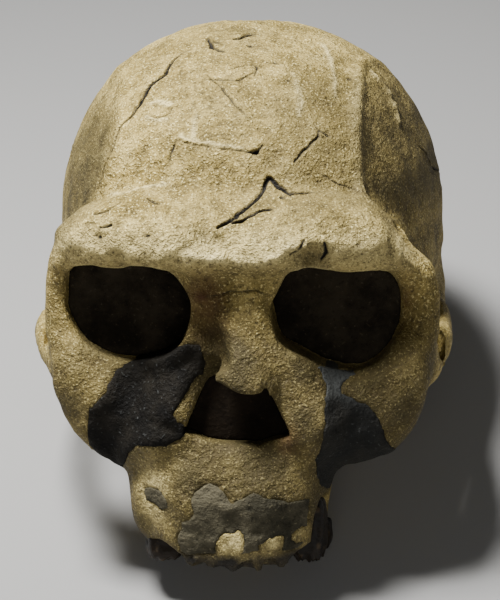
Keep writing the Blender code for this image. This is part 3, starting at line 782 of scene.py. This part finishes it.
OLD_BONE = bone_material()
EYE_SEDIMENT = plain_fill_material("eye_sediment", (0.0120, 0.0094, 0.0062), (0.0340, 0.0270, 0.0175),
                                   (0.100, 0.080, 0.050), (0.8, 0.98), 0.0018, 0.08)
NOSE_SEDIMENT = plain_fill_material("nose_sediment", (0.0066, 0.0044, 0.0028), (0.0145, 0.0100, 0.0062),
                                    (0.045, 0.031, 0.019), (0.8, 0.95), 0.0012, 0.08)
CHEEK_FILLER = plain_fill_material("cheek_filler", (0.0046, 0.0040, 0.0032), (0.0145, 0.0122, 0.0086),
                                   (0.120, 0.128, 0.122), (0.65, 0.9), 0.0024, 0.12)
ROW_FILLER = plain_fill_material("row_filler", (0.0260, 0.0232, 0.0136), (0.082, 0.072, 0.044),
                                 (0.250, 0.215, 0.125), (0.65, 0.9), 0.0026, 0.15)
TOOTH_ENAMEL = plain_fill_material("tooth_enamel", (0.0048, 0.0030, 0.0014), (0.0160, 0.0100, 0.0045),
                                   (0.060, 0.040, 0.019), (0.34, 0.62), 0.0012, 0.22)

# %% [markdown]
# ## Pieces
# Every piece is made the same way: points in the skull's frame, faces, a material, and the CAD solid
# that it stands for.

# %% A mesh from points and faces


def mesh_of(name, points, faces):
    mesh = bpy.data.meshes.new(name)
    mesh.from_pydata(points, [], faces.tolist() if isinstance(faces, np.ndarray) else faces)
    return mesh


def new_piece(mesh, finish, node, masks=None):
    """Takes a mesh in millimetres into the world as a piece that stands for the CAD node."""
    flat = np.empty(len(mesh.vertices) * 3, np.float32)
    mesh.vertices.foreach_get("co", flat)
    mesh.vertices.foreach_set("co", to_world(flat).astype(np.float32).ravel())
    for mask, values in (masks or {}).items():
        mesh.attributes.new(mask, "FLOAT", "POINT").data.foreach_set("value", np.asarray(values, np.float32))
    mesh.shade_smooth()
    mesh.materials.append(finish)
    mesh.update()
    obj = bpy.data.objects.new(mesh.name, mesh)
    bpy.context.scene.collection.objects.link(obj)
    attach(obj, "root")
    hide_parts(node)
    mesh.calc_loop_triangles()
    print(mesh.name, len(mesh.loop_triangles), "triangles")
    return obj


# %% [markdown]
# ## The cranium
# The openings are cut from the bone field. Pockets for filler are cut a little smaller than the
# filler, so that its edge lies on the bone and no gap shows.

# %% Cranium
POCKETS = {
    "cheek_filler_right": (RIGHT_CHEEK_OUTLINE, CHEEK_BACK),
    "cheek_filler_left": (LEFT_CHEEK_OUTLINE, CHEEK_BACK),
    "tooth_row_filler": (TOOTH_ROW_OUTLINE, TOOTH_ROW_BACK),
    "socket_filler": (SOCKET_OUTLINE, SOCKET_BACK),
}
POCKET_INSET = 0.7
NOSE_RAGGED = 0.3
CRANIUM_STEP = 1.3


def pocket(p, outline, back, inset):
    return np.maximum(ragged(p[0], p[2], outline) + inset, p[1] - back)


def cranium_field(p):
    f = plain_bone(p) - relief(p)
    for outline, back in POCKETS.values():
        f = np.maximum(f, -pocket(p, outline, back, POCKET_INSET))
    for side in EYE_OUTLINES:
        f = cut(f, np.maximum(eye_socket(p, side), p[1] - EYE_BACK), 1.2)
    opening = np.maximum(ragged(p[0], p[2], NOSE_OUTLINE, NOSE_RAGGED), p[1] - NOSE_BACK)
    return np.maximum(cut(f, opening, 0.6), above_ground(p))


def face_axes(step):
    """Grid lines: even in x and z, and in y widening behind the face."""
    x, _, z = even_axes((-76, 0, -68), (76, 0, 106), step)
    y, lines = -118.0, []
    while y < 96:
        lines.append(y)
        y += step * (1 + 1.1 * float(ramp(y, -66, -10)))
    return [x, np.array(lines), z]


points, quads = surface_of(cranium_field, face_axes(CRANIUM_STEP))
print("cranium", len(points), "points before refining")

# %% [markdown]
# ## Cracks, scratches and pits
# The forehead is crossed by cracks: one gapes on the viewer's left, one like a broken T lies over the
# nose, and fine light seams run between them. Those of the back and the sides are made up in the same
# manner. Each is a path that is seen from one side and need not lie on the bone.

# %% Where the damage is
CRACKS = (  # x, y, z, half width
    ((-36, -64, 68, 0.35), (-32, -62, 72, 0.55), (-30, -58, 76, 0.8), (-28, -54, 80, 1.0),
     (-24, -51, 83, 0.8), (-22, -44, 87, 0.5), (-18, -38, 90, 0.2)),
    ((-36, -64, 68, 0.35), (-38, -69, 62, 0.4), (-41, -70, 54, 0.35), (-43, -68, 48, 0.2)),
    ((-18, -76, 65, 0.25), (-19, -78, 62, 0.35), (-20, -80, 59, 0.25)),
    ((-18, -76, 65, 0.2), (-14, -78, 64, 0.2), (-6, -80, 63, 0.2), (2, -81, 62, 0.25), (6, -81, 62, 0.6)),
    ((6, -81, 62, 0.5), (8, -80, 64, 0.3)),
    ((-4, -102, 42, 0.5), (0, -98, 44, 0.9), (2, -87, 45, 1.0), (6, -86, 48, 0.8), (8, -84, 51, 0.8),
     (10, -84, 55, 0.7), (13, -84, 52, 0.9), (16, -84, 50, 0.9), (20, -83, 50, 0.7), (23, -82, 50, 0.3)),
    ((0, -98, 43, 0.6), (4, -98, 44, 0.7), (7, -95, 46, 0.6), (11, -89, 46, 0.5)),
    ((17, -81, 59, 0.4), (20, -79, 62, 0.45), (22, -76, 64, 0.35), (24, -74, 66, 0.45), (24, -72, 68, 0.3)),
    ((24, -72, 68, 0.3), (27, -73, 66, 0.4)),
    ((-40, -98, 45, 0.35), (-36, -97, 46, 0.4), (-33, -95, 48, 0.25)),
    ((-26, -82, 48, 0.35), (-24, -84, 47, 0.5), (-21, -96, 48, 0.25)),
    ((-28, -66, 72, 0.15), (-25, -68, 71, 0.25), (-21, -70, 72, 0.25), (-20, -68, 74, 0.15)),
    ((-10, -60, 82, 0.25), (-6, -60, 82, 0.4), (-2, -60, 82, 0.35), (0, -59, 82, 0.45), (4, -54, 84, 0.35)),
    ((-7.2, -95, 95.5, 0.5), (-6, -95, 93, 0.9), (-3.1, -95, 92.2, 0.6)),
    ((0.5, -95, 95.4, 0.9), (3.7, -95, 96.2, 0.9), (6.5, -95, 97, 0.5)),
    ((-7.2, -95, 85, 0.2), (-2, -95, 79.9, 0.35), (0.6, -95, 76.7, 0.3), (4.3, -95, 73, 0.2)),
    ((-1.4, -95, 86.7, 0.3), (2, -95, 87.9, 0.4), (6.9, -95, 88.2, 0.4), (6, -95, 85, 0.3)),
    ((-8.2, -95, 20.8, 0.15), (-0.9, -95, 22.4, 0.25), (6.4, -95, 22.7, 0.3), (11.4, -95, 21.3, 0.15)),
    ((26.5, -95, 56.4, 0.2), (30.9, -95, 54.1, 0.3), (35.5, -95, 52.4, 0.2)),
    ((-38.8, -95, 40.8, 0.3), (-35.3, -95, 41.5, 0.5)),
    ((16.5, -95, 33.5, 0.3), (19.5, -95, 35.5, 0.5), (20.8, -95, 38, 0.3)),
    ((26.5, -95, 37, 0.5), (27, -95, 34.5, 0.6), (25.5, -95, 32.5, 0.3)),
)
BACK_CRACKS = (  # seen from behind
    ((-34, 95, 38, 0.2), (-26, 95, 47, 0.3), (-17, 95, 54, 0.25), (-9, 95, 61, 0.3), (0, 95, 66, 0.25),
     (9, 95, 62, 0.3), (18, 95, 55, 0.25), (27, 95, 46, 0.3), (35, 95, 37, 0.2)),
    ((0, 95, 66, 0.25), (-1.5, 95, 72, 0.3), (1, 95, 79, 0.25), (-1, 95, 86, 0.2)),
    ((-30, 95, 58, 0.3), (-24, 95, 66, 0.6), (-21, 95, 74, 0.5), (-15, 95, 80, 0.25)),
    ((12, 95, 34, 0.3), (19, 95, 27, 0.5), (29, 95, 24, 0.3)),
)
SIDE_CRACKS = {  # seen from each side
    -1: (((-60, -20, 55, 0.25), (-60, -8, 61, 0.5), (-60, 6, 60, 0.4), (-60, 15, 66, 0.25)),
         ((-60, 22, 34, 0.3), (-60, 32, 44, 0.45), (-60, 45, 48, 0.25))),
    1: (((60, -30, 60, 0.3), (60, -20, 52, 0.55), (60, -6, 50, 0.4), (60, 4, 43, 0.25)),
        ((60, 20, 62, 0.25), (60, 30, 52, 0.4), (60, 38, 50, 0.25))),
}
SEAMS = (  # x, y, z
    ((-27, -62, 75), (-24, -64, 76), (-20, -66, 75)),
    ((-17, -76, 66), (-14, -78, 65), (-6, -80, 64), (2, -81, 63)),
    ((16, -54, 84), (18, -64, 78), (18, -71, 72)),
    ((19.5, -95, 81.6), (19.8, -95, 78.2), (19, -95, 73.9)),
    ((25.7, -95, 94.2), (26.9, -95, 91.9), (27.7, -95, 89.1)),
    ((24, -24, 92), (27, -36, 88), (28, -46, 84), (29, -52, 80), (29, -58, 77)),
    ((-36, -92, 50), (-26, -90, 52), (-20, -88, 53)),
    ((-10.4, -95, 73.5), (-11.3, -95, 70.3), (-11.6, -95, 66.9)),
    ((-23.9, -95, 77.2), (-21.6, -95, 77.8), (-18.2, -95, 76.4)),
    ((-25.1, -95, 73.2), (-22.2, -95, 72), (-18.8, -95, 72.3)),
)
BEADS = (
    ((39.4, -95, 86.8), (41.5, -95, 84), (44.4, -95, 80.6), (46.1, -95, 77.2), (47.3, -95, 72)),
    ((-12.6, -95, 32.6), (-5.3, -95, 31.8), (2, -95, 31), (8, -95, 30.6), (13, -95, 33.2), (16.8, -95, 35.6)),
)
PITS = (  # x, y, z, radius, depth
    (48, -94, 42, 1.9, 2.0), (-24, -104, 40, 1.0, 0.9), (7, -98, 14, 0.8, 1.2), (6, -81, 62, 1.0, 1.2),
    (2, -40, 92, 1.4, 0.9), (38, -20, 88, 1.6, 0.9), (-9, -34, 93, 1.8, 1.0), (33, -45, 82, 1.2, 0.8),
    (14, -92, 50, 1.1, 0.7), (-39, -95, 38, 0.9, 0.8), (12, -95, 89, 1.2, 0.8), (16, -95, 84, 0.9, 0.6),
)

# %% [markdown]
# ## Marks set on the bone
# A line of sight through each point of a path meets the bone somewhere: there the mark lies. The
# paths are shaken a little first, as no crack runs straight.

# %% From paths to points on the bone
SEARCH = np.arange(-25, 110, 0.6)
SHAKE, MARK_SPACING = 0.35, 0.35


def first_hit(points, eye=AIM + camera_axes()[2] * CAMERA_AWAY):
    """Each point slid along its line of sight to where that line first meets the bone."""
    ray = points - eye
    ray /= np.linalg.norm(ray, axis=1, keepdims=True)
    line = points[:, None] + SEARCH[None, :, None] * ray[:, None]
    f = cranium_field(list(np.moveaxis(line, -1, 0)))
    k = np.argmax((f[:, :-1] >= 0) & (f[:, 1:] < 0), 1)
    row = np.arange(len(points))
    share = f[row, k] / (f[row, k] - f[row, k + 1] + 1e-9)
    return points + (SEARCH[k] + share * (SEARCH[1] - SEARCH[0]))[:, None] * ray


def stroke(path, spacing):
    """The path with a value every so many millimetres, interpolated straight between its points."""
    path = np.array(path, float)
    along = np.append(0, np.cumsum(np.linalg.norm(np.diff(path[:, :3], axis=0), axis=1)))
    place = np.linspace(0, along[-1], max(2, int(along[-1] / spacing) + 1))
    return np.stack([np.interp(place, along, column) for column in path.T], 1)


def strokes_on_bone(paths, **seen_from):
    """All paths set on the bone, as one list of evenly spaced points."""
    made = []
    for path in paths:
        rough = stroke(path, 1.2)
        rough[:, :3] += SHAKE * np.stack([lumps(list(rough[:, :3].T), 2.2, 20 + i) for i in range(3)], 1)
        rough[:, :3] = first_hit(rough[:, :3], **seen_from)
        made.append(stroke(rough, MARK_SPACING))
    return np.vstack(made)


CRACK_POINTS = np.vstack([
    strokes_on_bone(CRACKS),
    strokes_on_bone(BACK_CRACKS, eye=np.array([0.0, 700.0, 60.0])),
    strokes_on_bone(SIDE_CRACKS[-1], eye=np.array([-700.0, 0.0, 60.0])),
    strokes_on_bone(SIDE_CRACKS[1], eye=np.array([700.0, 0.0, 60.0])),
])
SEAM_POINTS = strokes_on_bone(SEAMS)
BEAD_POINTS = strokes_on_bone(BEADS)
PIT_MIDDLES = first_hit(np.array(PITS)[:, :3])
print(len(CRACK_POINTS), "crack points,", len(SEAM_POINTS), "seam points")


# %% [markdown]
# ## Carving
# The marks are narrower than the grid, so the mesh is first split finer along them. A crack is a V
# groove whose depth follows its width: steepness times the distance inside its edge. Seams and beads
# stand out a little, and pits sink as exp(-(distance / radius)^2).

# %% Carving the mesh
CRACK_STEEPNESS = 2.0
FAR = 99.0


def nearest(p, marks, widths=0.0):
    """Distance from each point to the nearest mark, less that mark's width; FAR below all marks."""
    best = np.full(len(p), FAR)
    high = np.nonzero(p[:, 2] > marks[:, 2].min() - 5)[0]
    q, parts = p[high], len(marks) // 40 + 1
    widths = widths + np.zeros(len(marks))
    for some, wide in zip(np.array_split(marks, parts), np.array_split(widths, parts)):
        square = (q**2).sum(1)[:, None] + (some**2).sum(1) - 2 * q @ some.T
        best[high] = np.minimum(best[high], (np.sqrt(np.maximum(square, 0)) - wide).min(1))
    return best


def damage(p):
    """(rise, nearness to a crack, seam share, pit share) at each point."""
    crack = nearest(p, CRACK_POINTS[:, :3], CRACK_POINTS[:, 3])
    seam = np.exp(-((nearest(p, SEAM_POINTS) / 0.5) ** 2))
    bead = np.exp(-((nearest(p, BEAD_POINTS) / 1.2) ** 2))
    bead = bead * (0.6 + 0.7 * lumps(list(p.T), 2.4, 41))
    pit, deep = 0, 0
    for middle, (_, _, _, radius, depth) in zip(PIT_MIDDLES, PITS):
        share = np.exp(-((p - middle) ** 2).sum(1) / radius**2)
        pit, deep = pit + share, deep + depth * share
    lip = 0.22 * np.exp(-(((crack - 0.55) / 0.45) ** 2))
    rise = lip + 0.3 * seam + 0.9 * bead - deep - CRACK_STEEPNESS * np.maximum(0, -crack)
    return rise, crack, np.maximum(seam, bead), pit


def outward(field, points, step=0.3):
    """Unit direction in which the field grows."""
    ways = np.eye(3) * step
    slope = np.stack([field(list((points + w).T)) - field(list((points - w).T)) for w in ways], 1)
    return slope / (np.linalg.norm(slope, axis=1, keepdims=True) + 1e-9)


def split_edges(mesh, chosen, cuts):
    """Splits every edge whose two ends are chosen into cuts + 1, and its faces with it."""
    work = bmesh.new()
    work.from_mesh(mesh)
    edges = [e for e in work.edges if chosen[e.verts[0].index] and chosen[e.verts[1].index]]
    bmesh.ops.subdivide_edges(work, edges=edges, cuts=cuts, use_grid_fill=True)
    work.to_mesh(mesh)
    work.free()


def points_of(mesh):
    flat = np.empty(len(mesh.vertices) * 3, np.float32)
    mesh.vertices.foreach_get("co", flat)
    return flat.reshape(-1, 3).astype(float)


def carve(mesh):
    """Splits the mesh along the damage, sets the new points on the field, and moves all of them."""
    p = points_of(mesh)
    _, crack, seam, pit = damage(p)
    split_edges(mesh, (crack < 1.2) | (seam > 0.1) | (pit > 0.2), 3)
    p = points_of(mesh)
    rise, crack, seam, pit = damage(p)
    near = np.nonzero((crack < 2.5) | (seam > 0.02) | (pit > 0.02))[0]
    normal = outward(cranium_field, p[near])
    on_field = p[near] - normal * np.clip(cranium_field(list(p[near].T)), -0.4, 0.4)[:, None]
    p[near] = on_field + normal * rise[near][:, None]
    mesh.vertices.foreach_set("co", p.astype(np.float32).ravel())
    mesh.update()
    print("cranium", len(p), "points after refining,", len(mesh.polygons), "faces")
    return p, crack, seam, pit


# %% [markdown]
# ## Stains and painted light
# Where each stain lies, and each painted shade and highlight, is stored on the mesh as a number at
# each point. Most are spots: the share is exp(-(distance / size)^2), seen from the front, and fades
# out towards the back.

# %% Stains and painted light of the cranium


def spot(x, y, middle, size):
    """exp(-d^2), with d the distance from the middle in both directions, each in its own size."""
    return np.exp(-(((x - middle[0]) / size[0]) ** 2 + ((y - middle[1]) / size[1]) ** 2))


def rust_share(p, front):
    """Between the eyes, at the nose opening's left corner and outside the left eye socket."""
    rust = 1.1 * spot(p[0], p[2], (-8.5, 19), (6.5, 9)) * front
    rust = rust + 0.9 * spot(p[0], p[2], (16, -21), (3.0, 4)) * ramp(-p[1], 80, 90)
    rust = rust + 0.7 * spot(p[0], p[2], (50, 19), (3, 9)) * front
    return rust * (0.8 + 0.4 * lumps(p, 3.0, 31))


def stain_and_shade_share(p, front):
    """Stain and painted shade: nose bones, nose root, lower face, both temples, forehead and crown."""
    # Painted shade in the hollow on and beside the nose bones.
    olive_and_painted_shade = spot(p[0], p[2], (-4, 4), (6, 8)) * front
    # Painted shade under the brow, at the root of the nose.
    olive_and_painted_shade = olive_and_painted_shade + 0.35 * np.exp(-(((p[2] - 28) / 4) ** 2)) * ramp(-p[1], 84, 94)
    # The lower face: a darker stain, with painted shade for light from above.
    olive_and_painted_shade = olive_and_painted_shade + ramp(-p[2], -30, -1) * front * (1.0 - 0.15 * ramp(-p[0], 28, 44))
    # Painted shade in the sunk temples, most on the skull's right.
    across = np.interp(p[2], *np.array(TEMPLE_LINE["left"], float).T)
    temple = ramp(np.abs(p[0]) - across, 0, 8) * ramp(p[2], 20, 40) * ramp(-p[2], -92, -64)
    olive_and_painted_shade = olive_and_painted_shade + temple * (0.24 + 0.76 * (p[0] < 0)) * ramp(-p[1], -30, 62)
    # Painted shade across the forehead, deepening towards the skull's left.
    forehead = ramp(p[2], 36, 50) * ramp(-p[2], -94, -76)
    olive_and_painted_shade = olive_and_painted_shade + (0.42 * ramp(p[0], -28, -8) + 0.32 * ramp(p[0], 0, 24)) * forehead
    # Darker over the crown.
    olive_and_painted_shade = olive_and_painted_shade + 0.45 * spot(p[0], p[1], (-2, -28), (14, 22)) * ramp(p[2], 80, 92)
    return np.clip(olive_and_painted_shade * (0.9 + 0.2 * lumps(p, 7.0, 33)), 0, 1)


def dirt_share(p, crack, pit):
    """Dirt in cracks and pits; darker in the notch over the left eye and along the tooth row's lower edge."""
    notch = spot(p[0], p[2], (23.5, 33.5), (5, 4)) * ramp(-p[1], 90, 97)
    tooth_edge = ramp(-p[2], 54.0, 57.0) * (0.85 + 0.4 * lumps(p, 3.0, 32))
    return ramp(-crack, -0.2, 0.3) + 0.9 * ramp(pit, 0.3, 0.9) + 0.6 * notch + 0.95 * tooth_edge


def bare_patch(p, front):
    """Unstained bone: a patch on the right of the jaw and the islands in the filler."""
    patch = spot(p[0], p[2], (-24, -38), (5, 12)) * front
    for x, z, radius in BONE_ISLANDS:
        patch = patch + 0.8 * spot(p[0], p[2], (x, z), (radius, radius)) * front
    return patch


def pale_share(p, seam):
    """Painted highlight on the brow's lower edge, the left muscle line and the eye socket rims; pale seams.
    """
    pale = 0.9 * np.exp(-((p[2] - 35) / 6.5) ** 2) * ramp(-p[1], 80, 94) + 1.7 * seam
    muscle_line = distance_to(p, RIDGES["muscle line left"][0])
    pale = pale + 0.9 * np.exp(-((muscle_line / 2.0) ** 2)) * ramp(-p[1], 30, 60)
    for outline in EYE_OUTLINES.values():
        rim = np.exp(-((inside_outline(p[0], p[2], outline) / 0.9) ** 2)) * ramp(-p[1], 75, 78)
        pale = pale + rim * (0.9 * ramp(-p[2], -10, 0) + 0.7 * ramp(p[2], 20, 28))
    return pale


def cranium_masks(points, crack, seam, pit):
    """The share of each mask, stains and painted light alike, in the order of BONE_MASKS."""
    p = list(points.T)
    front = ramp(-p[1], 74, 82)
    patch = bare_patch(p, front)
    pale = pale_share(p, seam) + 1.2 * patch
    olive_and_painted_shade = stain_and_shade_share(p, front) * np.clip(1 - 0.7 * patch, 0, 1)
    # Painted shade in the low places between the lumps of the relief.
    low = ramp(-(lumps(p, 4.2, 2) + lumps(p, 2.4, 3)), 0.1, 1.2)
    return dict(zip(BONE_MASKS, (dirt_share(p, crack, pit), rust_share(p, front), pale, low, olive_and_painted_shade)))


cranium_mesh = mesh_of("bone_cranium", points, quads)
cranium = new_piece(cranium_mesh, OLD_BONE, "cranium", cranium_masks(*carve(cranium_mesh)))

# %% [markdown]
# ## Sediment plugs and filler
# Each is its own closed body. A plug is the socket's shape between its flat front and its back. A
# filler is the bone's own outer form inside its outline: at its edge it stands a trace above the
# bone, and towards its middle it sinks.

# %% Plugs and fillers
PLUG_OVERLAP, PLUG_BACK_OVERLAP = 0.15, 0.2
FILLER_LIFT, FILLER_CLEARANCE = 0.06, 0.3


def box_of(node, margin=3.0):
    """The CAD node's box, turned back into the skull's frame and widened, in millimetres."""
    low, high = (np.array(c) * 1000 - REST_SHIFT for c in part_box(node))
    ys = [turned(y, z, -REST_TILT) for y in (low[1], high[1]) for z in (low[2], high[2])]
    y, z = np.array(ys).T
    low, high = np.array((low[0], y.min(), z.min())), np.array((high[0], y.max(), z.max()))
    return low - margin, high + margin


def fill_piece(node, field, finish, step=0.7, painted_light_and_chips=None):
    points, quads = surface_of(field, even_axes(*box_of(node), step))
    values = np.zeros(len(points)) if painted_light_and_chips is None else painted_light_and_chips(list(points.T))
    return new_piece(mesh_of(f"shaped_{node}", points, quads), finish, node, {"painted_light_and_chips": values})


def eye_plug(side):
    def field(p):
        front = EYE_FRONT + 0.25 * lumps(p, 6.0, 8)
        around = eye_socket(p, side, grow=PLUG_OVERLAP)
        return np.maximum(around, np.maximum(front - p[1], p[1] - EYE_BACK - PLUG_BACK_OVERLAP))
    return field


def nose_plug(p):
    front = NOSE_FRONT + 0.3 * lumps(p, 5.0, 9)
    around = ragged(p[0], p[2], NOSE_OUTLINE, NOSE_RAGGED) - PLUG_OVERLAP
    return np.maximum(around, np.maximum(front - p[1], p[1] - NOSE_BACK - PLUG_BACK_OVERLAP))


def flush_filler(node, sunk):
    outline, back = POCKETS[node]

    def field(p):
        deep = sunk * ramp(-inside_outline(p[0], p[2], outline), 0.5, 7)
        skin = plain_bone(p) - relief(p) - FILLER_LIFT + deep
        skin = np.maximum(skin, pocket(p, outline, back - FILLER_CLEARANCE, 0.0))
        for side in EYE_OUTLINES:
            skin = np.maximum(skin, -eye_socket(p, side, grow=FILLER_CLEARANCE))
        return np.maximum(skin, -ragged(p[0], p[2], NOSE_OUTLINE, NOSE_RAGGED) + FILLER_CLEARANCE)
    return field


for side in ("right", "left"):
    fill_piece(f"orbit_matrix_{side}", eye_plug(side), EYE_SEDIMENT)
fill_piece("nose_matrix", nose_plug, NOSE_SEDIMENT)
fill_piece("cheek_filler_right", flush_filler("cheek_filler_right", 2.0), CHEEK_FILLER)
# The left cheek filler is painted lighter towards its top: painted light from above.
fill_piece("cheek_filler_left", flush_filler("cheek_filler_left", 1.0), CHEEK_FILLER,
           painted_light_and_chips=lambda p: 0.10 + 0.55 * ramp(p[2], -12, -4))
fill_piece("tooth_row_filler", flush_filler("tooth_row_filler", 0.3), ROW_FILLER)
fill_piece("socket_filler", flush_filler("socket_filler", 0.2), ROW_FILLER, 0.5)

# %% [markdown]
# ## Back teeth
# A worn molar is a squared egg whose chewing face has low bumps round a shallow basin. Here a two-way
# grid fits: one angle round the crown and one from its top to its chewing face.

# %% Molars
MOLARS = {  # middle, half sizes, turn in degrees
    "right_first": ((-22.0, -81.0, -57.0), (5.2, 6.3, 4.7), -14),
    "right_second": ((-23.6, -67.6, -56.8), (5.4, 5.8, 4.6), -6),
    "left_first": ((22.4, -80.8, -51.5), (5.0, 6.0, 9.9), 14),
    "left_second": ((23.6, -67.6, -56.8), (5.4, 5.8, 4.6), 6),
}
MOLAR_SQUARENESS = 4.0
MOLAR_ROWS, MOLAR_AROUND = 61, 120


def molar_surface(middle, half, turn, rows=MOLAR_ROWS, around=MOLAR_AROUND):
    """x = |cos u cos w|^k and so on, signed; bumps are sin 3 pi x sin 3 pi y, roots part where y is 0."""
    tall = np.linspace(-np.pi / 2, np.pi / 2, rows)[1:-1, None]
    wide = np.linspace(0, 2 * np.pi, around, endpoint=False)[None]

    def square(v):
        return np.sign(v) * np.abs(v) ** (2 / MOLAR_SQUARENESS)

    x, y = square(np.cos(tall)) * square(np.cos(wide)), square(np.cos(tall)) * square(np.sin(wide))
    z = square(np.sin(tall)) + 0 * wide
    chewing = ramp(-z, 0.3, 0.9)
    bumps = 0.10 * np.sin(3 * np.pi * x) * np.sin(3 * np.pi * y)
    z = z + chewing * (0.16 * np.exp(-5 * (x**2 + y**2)) - bumps)
    root = ramp(z, -0.35, 0.1)
    x, y = x * (1 - 0.22 * root * np.exp(-((y / 0.22) ** 2))), y * (1 - 0.12 * root)
    points = np.vstack([np.stack([x, y, z], -1).reshape(-1, 3), [[0, 0, -0.84], [0, 0, 1.0]]]) * half
    points += 0.22 * lumps(list((points + middle).T), 2.4, 11)[:, None]
    px, py = turned(points[:, 0], points[:, 1], turn)
    return np.stack([px, py, points[:, 2]], 1) + middle


def molar_faces(rows=MOLAR_ROWS, around=MOLAR_AROUND):
    """Quads between neighbouring rings, and a fan of triangles at each end."""
    ring = np.arange(around)
    after, last, low = (ring + 1) % around, (rows - 3) * around, (rows - 2) * around
    row = np.arange(rows - 3)[:, None] * around
    sides = np.stack([row + ring, row + after, row + around + after, row + around + ring], -1).reshape(-1, 4)
    bottom = np.stack([0 * ring + low, after, ring], 1)
    top = np.stack([0 * ring + low + 1, last + ring, last + after], 1)
    return sides.tolist() + bottom.tolist() + top.tolist()


for place, (middle, half, turn) in MOLARS.items():
    points = molar_surface(np.array(middle), np.array(half), turn)
    chips = ramp(lumps(list(points.T), 1.8, 12), 0.35, 0.8)
    new_piece(mesh_of(f"worn_molar_{place}", points, molar_faces()), TOOTH_ENAMEL, f"molar_{place}",
              {"painted_light_and_chips": chips})

# %% [markdown]
# ## Floor and light
# A pale floor and soft light. The main light is high on the viewer's left and near, so that the
# forehead is bright, the brow shades the face and the far temple turns dark.

# %% Floor and lights
MAIN_LIGHT = ((-0.165, 0.000, 0.648), 12.5, 0.15)  # place and size in metres, power in watts between
FILL_LIGHT = ((0.10, -1.0, 0.45), 2.2, 0.5)
LIGHTS_AIM = Vector((0, -0.04, 0.07))
FLOOR_COLOUR, FLOOR_SIZE = (0.32, 0.315, 0.305, 1), 6.0
SKY_COLOUR, SKY_STRENGTH = (0.9, 0.95, 1.0, 1), 0.07


def pale_floor():
    bpy.ops.mesh.primitive_plane_add(size=FLOOR_SIZE)
    floor = bpy.context.object
    floor.name = "floor"
    made = bpy.data.materials.new("pale_floor")
    made.use_nodes = True
    shader = made.node_tree.nodes["Principled BSDF"]
    shader.inputs["Base Color"].default_value = FLOOR_COLOUR
    shader.inputs["Roughness"].default_value = 0.9
    floor.data.materials.append(made)


def soft_light(name, place, power, size):
    """An area light of that size in metres, aimed at the skull."""
    data = bpy.data.lights.new(name, "AREA")
    data.energy, data.size = power, size
    obj = bpy.data.objects.new(name, data)
    bpy.context.scene.collection.objects.link(obj)
    aim = LIGHTS_AIM - Vector(place)
    obj.matrix_world = Matrix.Translation(place) @ aim.to_track_quat("-Z", "Y").to_matrix().to_4x4()


def sky_light():
    world = bpy.data.worlds.new("soft_world")
    world.use_nodes = True
    world.node_tree.nodes["Background"].inputs["Color"].default_value = SKY_COLOUR
    world.node_tree.nodes["Background"].inputs["Strength"].default_value = SKY_STRENGTH
    bpy.context.scene.world = world


pale_floor()
soft_light("main", *MAIN_LIGHT)
soft_light("fill", *FILL_LIGHT)
sky_light()

# %% [markdown]
# Last, the scene is brought up to date.

# %% Bring the scene up to date
bpy.context.view_layer.update()
